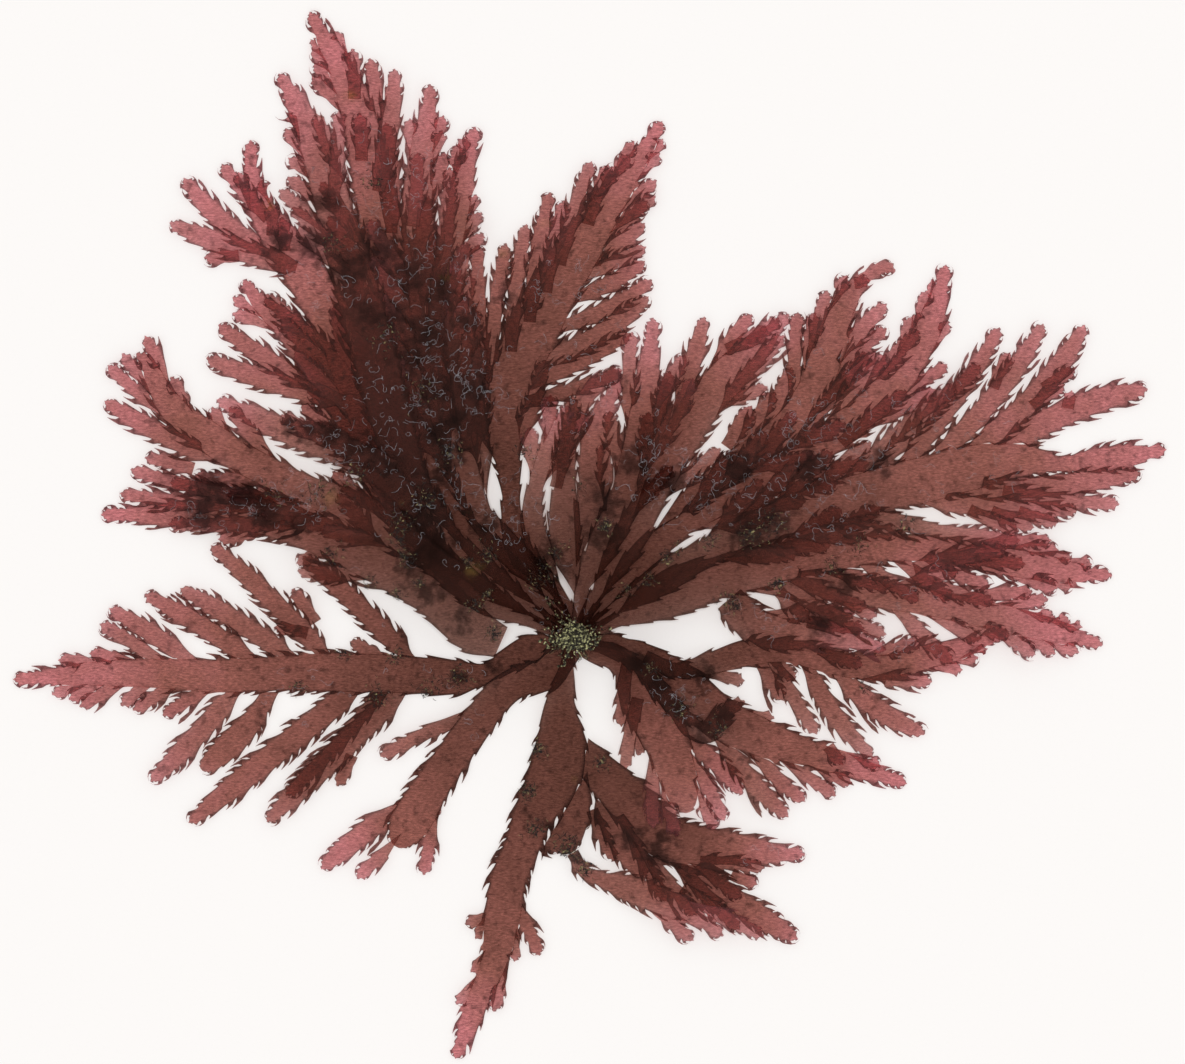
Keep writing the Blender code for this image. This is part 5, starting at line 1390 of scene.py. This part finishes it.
class SEAWEED_OT_holdfast(bpy.types.Operator):
    """Makes the grainy rooting tuft in place of its solid"""

    bl_idname = "seaweed.holdfast"
    bl_label = "Holdfast"

    def execute(self, context):
        settings = context.scene.seaweed_holdfast
        chance = random.Random(SEED)
        tree = plant_tree()
        shape = bmesh.new()
        bmesh.ops.create_icosphere(shape, subdivisions=4, radius=1.0)
        whole = (settings.length, settings.width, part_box("holdfast")[1].z)
        half = Vector([size * share for size, share in zip(whole, TUFT_SHARES)])
        for vert in shape.verts:
            lump = sum((high * noise.noise(vert.co * often) for often, high in TUFT_LUMPS), TUFT_LEAST)
            vert.co = Vector(c * h for c, h in zip(vert.co * lump, half))
        cut = bmesh.ops.bisect_plane(
            shape, geom=shape.verts[:] + shape.edges[:] + shape.faces[:], plane_co=(0, 0, TUFT_CUT * MM),
            plane_no=(0, 0, 1), clear_inner=True,
        )
        rim = [item for item in cut["geom_cut"] if isinstance(item, bmesh.types.BMEdge)]
        bmesh.ops.edgeloop_fill(shape, edges=rim)
        starts = [vert for vert in shape.verts if vert.co.z > TUFT_BEARS * MM]
        paths = []
        for _ in range(settings.filaments):
            start = chance.choice(starts)
            out = Vector([c / h**2 for c, h in zip(start.co, half)]).normalized()
            reach = chance.choice(TUFT_LENGTHS) * chance.uniform(*VARIES) * MM
            path = [start.co - out * TUFT_SUNK * MM]
            for _ in range(FILAMENT_STEPS):
                sway = Vector([chance.uniform(-TUFT_STRAYS, TUFT_STRAYS) for _ in range(3)])
                path.append(path[-1] + (out + sway).normalized() * reach / FILAMENT_STEPS)
            paths.append([Vector((*p.xy, max(p.z, TUFT_ABOVE * MM))) for p in path])
        add_strands(shape, paths, TUFT_RADIUS * MM, 0.5)
        places = [chance.choice(starts).co * chance.uniform(0.95, 1.12) for _ in range(settings.grains // 2)]
        spots = [Vector([chance.gauss(0, spread) for spread in GRIT_SPREAD]) for _ in range(settings.grains)]
        for arm in ARMS:
            spots += [
                Vector(arm) * index / ARM_GRAINS + Vector([chance.gauss(0, ARM_SPREAD) for _ in range(2)])
                for index in range(ARM_GRAINS)
            ]
        for spot in spots:
            top = top_at(tree, *spot * MM)
            if top is not None:
                places.append(Vector((*spot * MM, max(top, GRIT_ABOVE * MM))))
        add_grains(shape, places, GRIT_SIZE * MM, chance)
        # Matted rhizoids with grit in them: dull, olive black, with yellow-green grains a fifth of a
        # millimetre across.
        material = speckled_material(
            "matted_rhizoids", settings.dark, settings.light, size=GRIT_SIZE * MM, amount=0.01, roughness=0.8,
        )
        finish_piece("holdfast_tuft", shape, material, "holdfast_tissue", "holdfast")
        return {"FINISHED"}


class SEAWEED_OT_growths(bpy.types.Operator):
    """Makes the dark tufts of small growths that sit on the old margins"""

    bl_idname = "seaweed.growths"
    bl_label = "Growths"

    def execute(self, context):
        settings = context.scene.seaweed_growths
        chance = random.Random(SEED)
        tree = plant_tree()
        paths = []
        for x, y, spread, count in GROWTHS:
            middle = Vector((x, y)) * MM
            held = top_at(tree, *middle)
            for _ in range(count):
                spot = scattered(chance, x, y, spread)
                top = top_at(tree, *spot)
                if top is None and (spot - middle).length < spread / 2 * MM:
                    top = held
                if top is None:
                    continue
                path = [Vector((*spot, top))]
                turn = chance.uniform(0, 2 * math.pi)
                for _ in range(FILAMENT_STEPS):
                    turn += chance.uniform(-GROWTH_TURNS, GROWTH_TURNS)
                    lean = Vector((math.cos(turn), math.sin(turn), chance.uniform(*GROWTH_CLIMBS)))
                    step = lean * settings.length / FILAMENT_STEPS
                    path.append(path[-1] + step * chance.uniform(*GROWTH_VARIES))
                paths.append(path)
        shape = bmesh.new()
        add_strands(shape, paths, settings.diameter / 2, 0.6)
        add_grains(shape, [path[0] for path in paths[::GRAIN_EVERY]], GROWTH_GRAIN * MM, chance)
        # Dried filamentous epiphytes: dull, nearly black, with tan grains.
        material = speckled_material(
            "dried_epiphytes", settings.dark, settings.light, size=0.3 * MM, amount=-0.04, roughness=0.85,
        )
        finish_piece("epiphyte_tufts", shape, material, "holdfast_tissue")
        return {"FINISHED"}


class SEAWEED_OT_lint(bpy.types.Operator):
    """Makes the curled pale fibres that lie on the plant"""

    bl_idname = "seaweed.lint"
    bl_label = "Lint"

    def execute(self, context):
        settings = context.scene.seaweed_lint
        chance = random.Random(SEED)
        tree = plant_tree()
        paths = []
        for x, y, spread, count in LINT:
            for _ in range(round(count * settings.amount)):
                spot = scattered(chance, x, y, spread)
                length = settings.length * chance.uniform(*LINT_VARIES)
                steps = max(LEAST_LINT, round(length / (LINT_STEP * MM)))
                turn = chance.uniform(0, 2 * math.pi)
                curl = chance.gauss(0, FIRST_CURL)
                places = []
                for _ in range(steps):
                    top = top_at(tree, *spot)
                    if top is None:
                        break
                    places.append(Vector((*spot, top)))
                    curl = curl * CURL_KEPT + chance.gauss(0, CURL_ADDED)
                    turn += curl
                    spot = spot + Vector((math.cos(turn), math.sin(turn))) * length / steps
                if len(places) < LEAST_LINT:
                    continue
                rises = smoothed(np.array([p.z for p in places]), LINT_SMOOTHED)
                paths.append(
                    [Vector((*p.xy, max(z, p.z) + settings.diameter)) for p, z in zip(places, rises)]
                )
        shape = bmesh.new()
        add_strands(shape, paths, settings.diameter / 2, 0.2)
        # Stray cotton and paper fibres: pale, dull and a little blue against the dark blades.
        dim = [c * LINT_DIMMED for c in settings.pale]
        material = speckled_material(
            "stray_fibres", dim, settings.pale, size=1.2 * MM, amount=0.1, roughness=0.7,
        )
        finish_piece("lint_fibres", shape, material, "holdfast_tissue")
        return {"FINISHED"}


# The stage, in metres: half the floor's side, the lamp's size and place, the middle of the picture and the
# height at which it has its width, and from where to where the camera sees. Its lens and sensor are in
# millimetres.
FLOOR_HALF = 0.9
LAMP_SIZE = 0.3
LAMP_AT = (0.0, 0.01, 1.6)
PICTURE_MIDDLE = (1.47 * MM, 8.84 * MM, 1.5 * MM)
SEEN_FROM = 0.05
SEEN_UNTIL = 5.0
LENS = 300.0
SENSOR = 36.0

# Light may pass every blade of a deep stack.
BLADES_PASSED = 40


class SEAWEED_OT_stage(bpy.types.Operator):
    """Sets the floor, the light and the camera"""

    bl_idname = "seaweed.stage"
    bl_label = "Stage"

    def execute(self, context):
        settings = context.scene.seaweed_stage
        scene = context.scene
        shape = bmesh.new()
        bmesh.ops.create_grid(shape, x_segments=1, y_segments=1, size=FLOOR_HALF)
        mesh = bpy.data.meshes.new("floor")
        shape.to_mesh(mesh)
        shape.free()
        floor = bpy.data.objects.new("floor", mesh)
        scene.collection.objects.link(floor)
        floor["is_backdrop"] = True
        # Matt white board: dull, with a tooth of a quarter of a millimetre that hardly shows.
        material, add = new_material("matt_white_board")
        place = add("TexCoord").outputs["Object"]
        tooth = add("TexNoise", {"Vector": place, "Scale": 3600.0, "Detail": 2.0})
        bumps = add("Bump", {"Height": tooth, "Strength": 0.2, "Distance": 0.05 * MM})
        board = add(
            "BsdfPrincipled", {"Base Color": (*settings.floor, 1.0), "Roughness": 0.95, "Normal": bumps},
        )
        add("OutputMaterial", {"Surface": board})
        mesh.materials.append(material)

        world = bpy.data.worlds.new("soft_white_room")
        world.use_nodes = True
        around = world.node_tree.nodes["Background"]
        around.inputs["Color"].default_value = (1.0, 1.0, 1.0, 1.0)
        around.inputs["Strength"].default_value = settings.around
        scene.world = world

        lamp = bpy.data.lights.new("lamp_above", "AREA")
        lamp.shape = "DISK"
        lamp.size = LAMP_SIZE
        lamp.energy = settings.lamp
        hung = bpy.data.objects.new("lamp_above", lamp)
        hung.location = LAMP_AT
        scene.collection.objects.link(hung)

        camera = bpy.data.objects.new("camera", bpy.data.cameras.new("camera"))
        camera.data.lens = LENS
        camera.data.sensor_width = SENSOR
        distance = settings.field * camera.data.lens / camera.data.sensor_width
        x, y, level = PICTURE_MIDDLE
        camera.location = (x, y, distance + level)
        camera.data.clip_start = SEEN_FROM
        camera.data.clip_end = SEEN_UNTIL
        scene.collection.objects.link(camera)
        scene.camera = camera

        # Colours are shown as they are measured.
        scene.view_settings.view_transform = "Standard"
        scene.view_settings.look = "None"
        scene.cycles.transparent_max_bounces = BLADES_PASSED
        return {"FINISHED"}


class SEAWEED_PT_panel(bpy.types.Panel):
    """Lists the pieces of the plant and its stage"""

    bl_idname = "SEAWEED_PT_panel"
    bl_label = "Pressed seaweed"
    bl_space_type = "VIEW_3D"
    bl_region_type = "UI"
    bl_category = "Seaweed"

    def draw(self, context):
        for operator, group in STEPS:
            box = self.layout.box()
            box.operator(operator.bl_idname)
            held = getattr(context.scene, group, None)
            for name in held.__annotations__ if held else ():
                box.prop(held, name)


GROUPS = {
    "seaweed_membrane": MembraneSettings,
    "seaweed_holdfast": HoldfastSettings,
    "seaweed_growths": GrowthSettings,
    "seaweed_lint": LintSettings,
    "seaweed_stage": StageSettings,
}
STEPS = (
    (SEAWEED_OT_fronds, "seaweed_membrane"),
    (SEAWEED_OT_holdfast, "seaweed_holdfast"),
    (SEAWEED_OT_growths, "seaweed_growths"),
    (SEAWEED_OT_lint, "seaweed_lint"),
    (SEAWEED_OT_stage, "seaweed_stage"),
)
CLASSES = [*GROUPS.values(), *[operator for operator, _ in STEPS], SEAWEED_PT_panel]


def register():
    for item in CLASSES:
        bpy.utils.register_class(item)
    for name, group in GROUPS.items():
        setattr(bpy.types.Scene, name, bpy.props.PointerProperty(type=group))


def unregister():
    for name in GROUPS:
        delattr(bpy.types.Scene, name)
    for item in reversed(CLASSES):
        bpy.utils.unregister_class(item)


def main():
    register()
    bpy.ops.seaweed.fronds()
    bpy.ops.seaweed.holdfast()
    bpy.ops.seaweed.growths()
    bpy.ops.seaweed.lint()
    bpy.ops.seaweed.stage()
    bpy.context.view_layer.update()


if __name__ == "__main__":
    main()
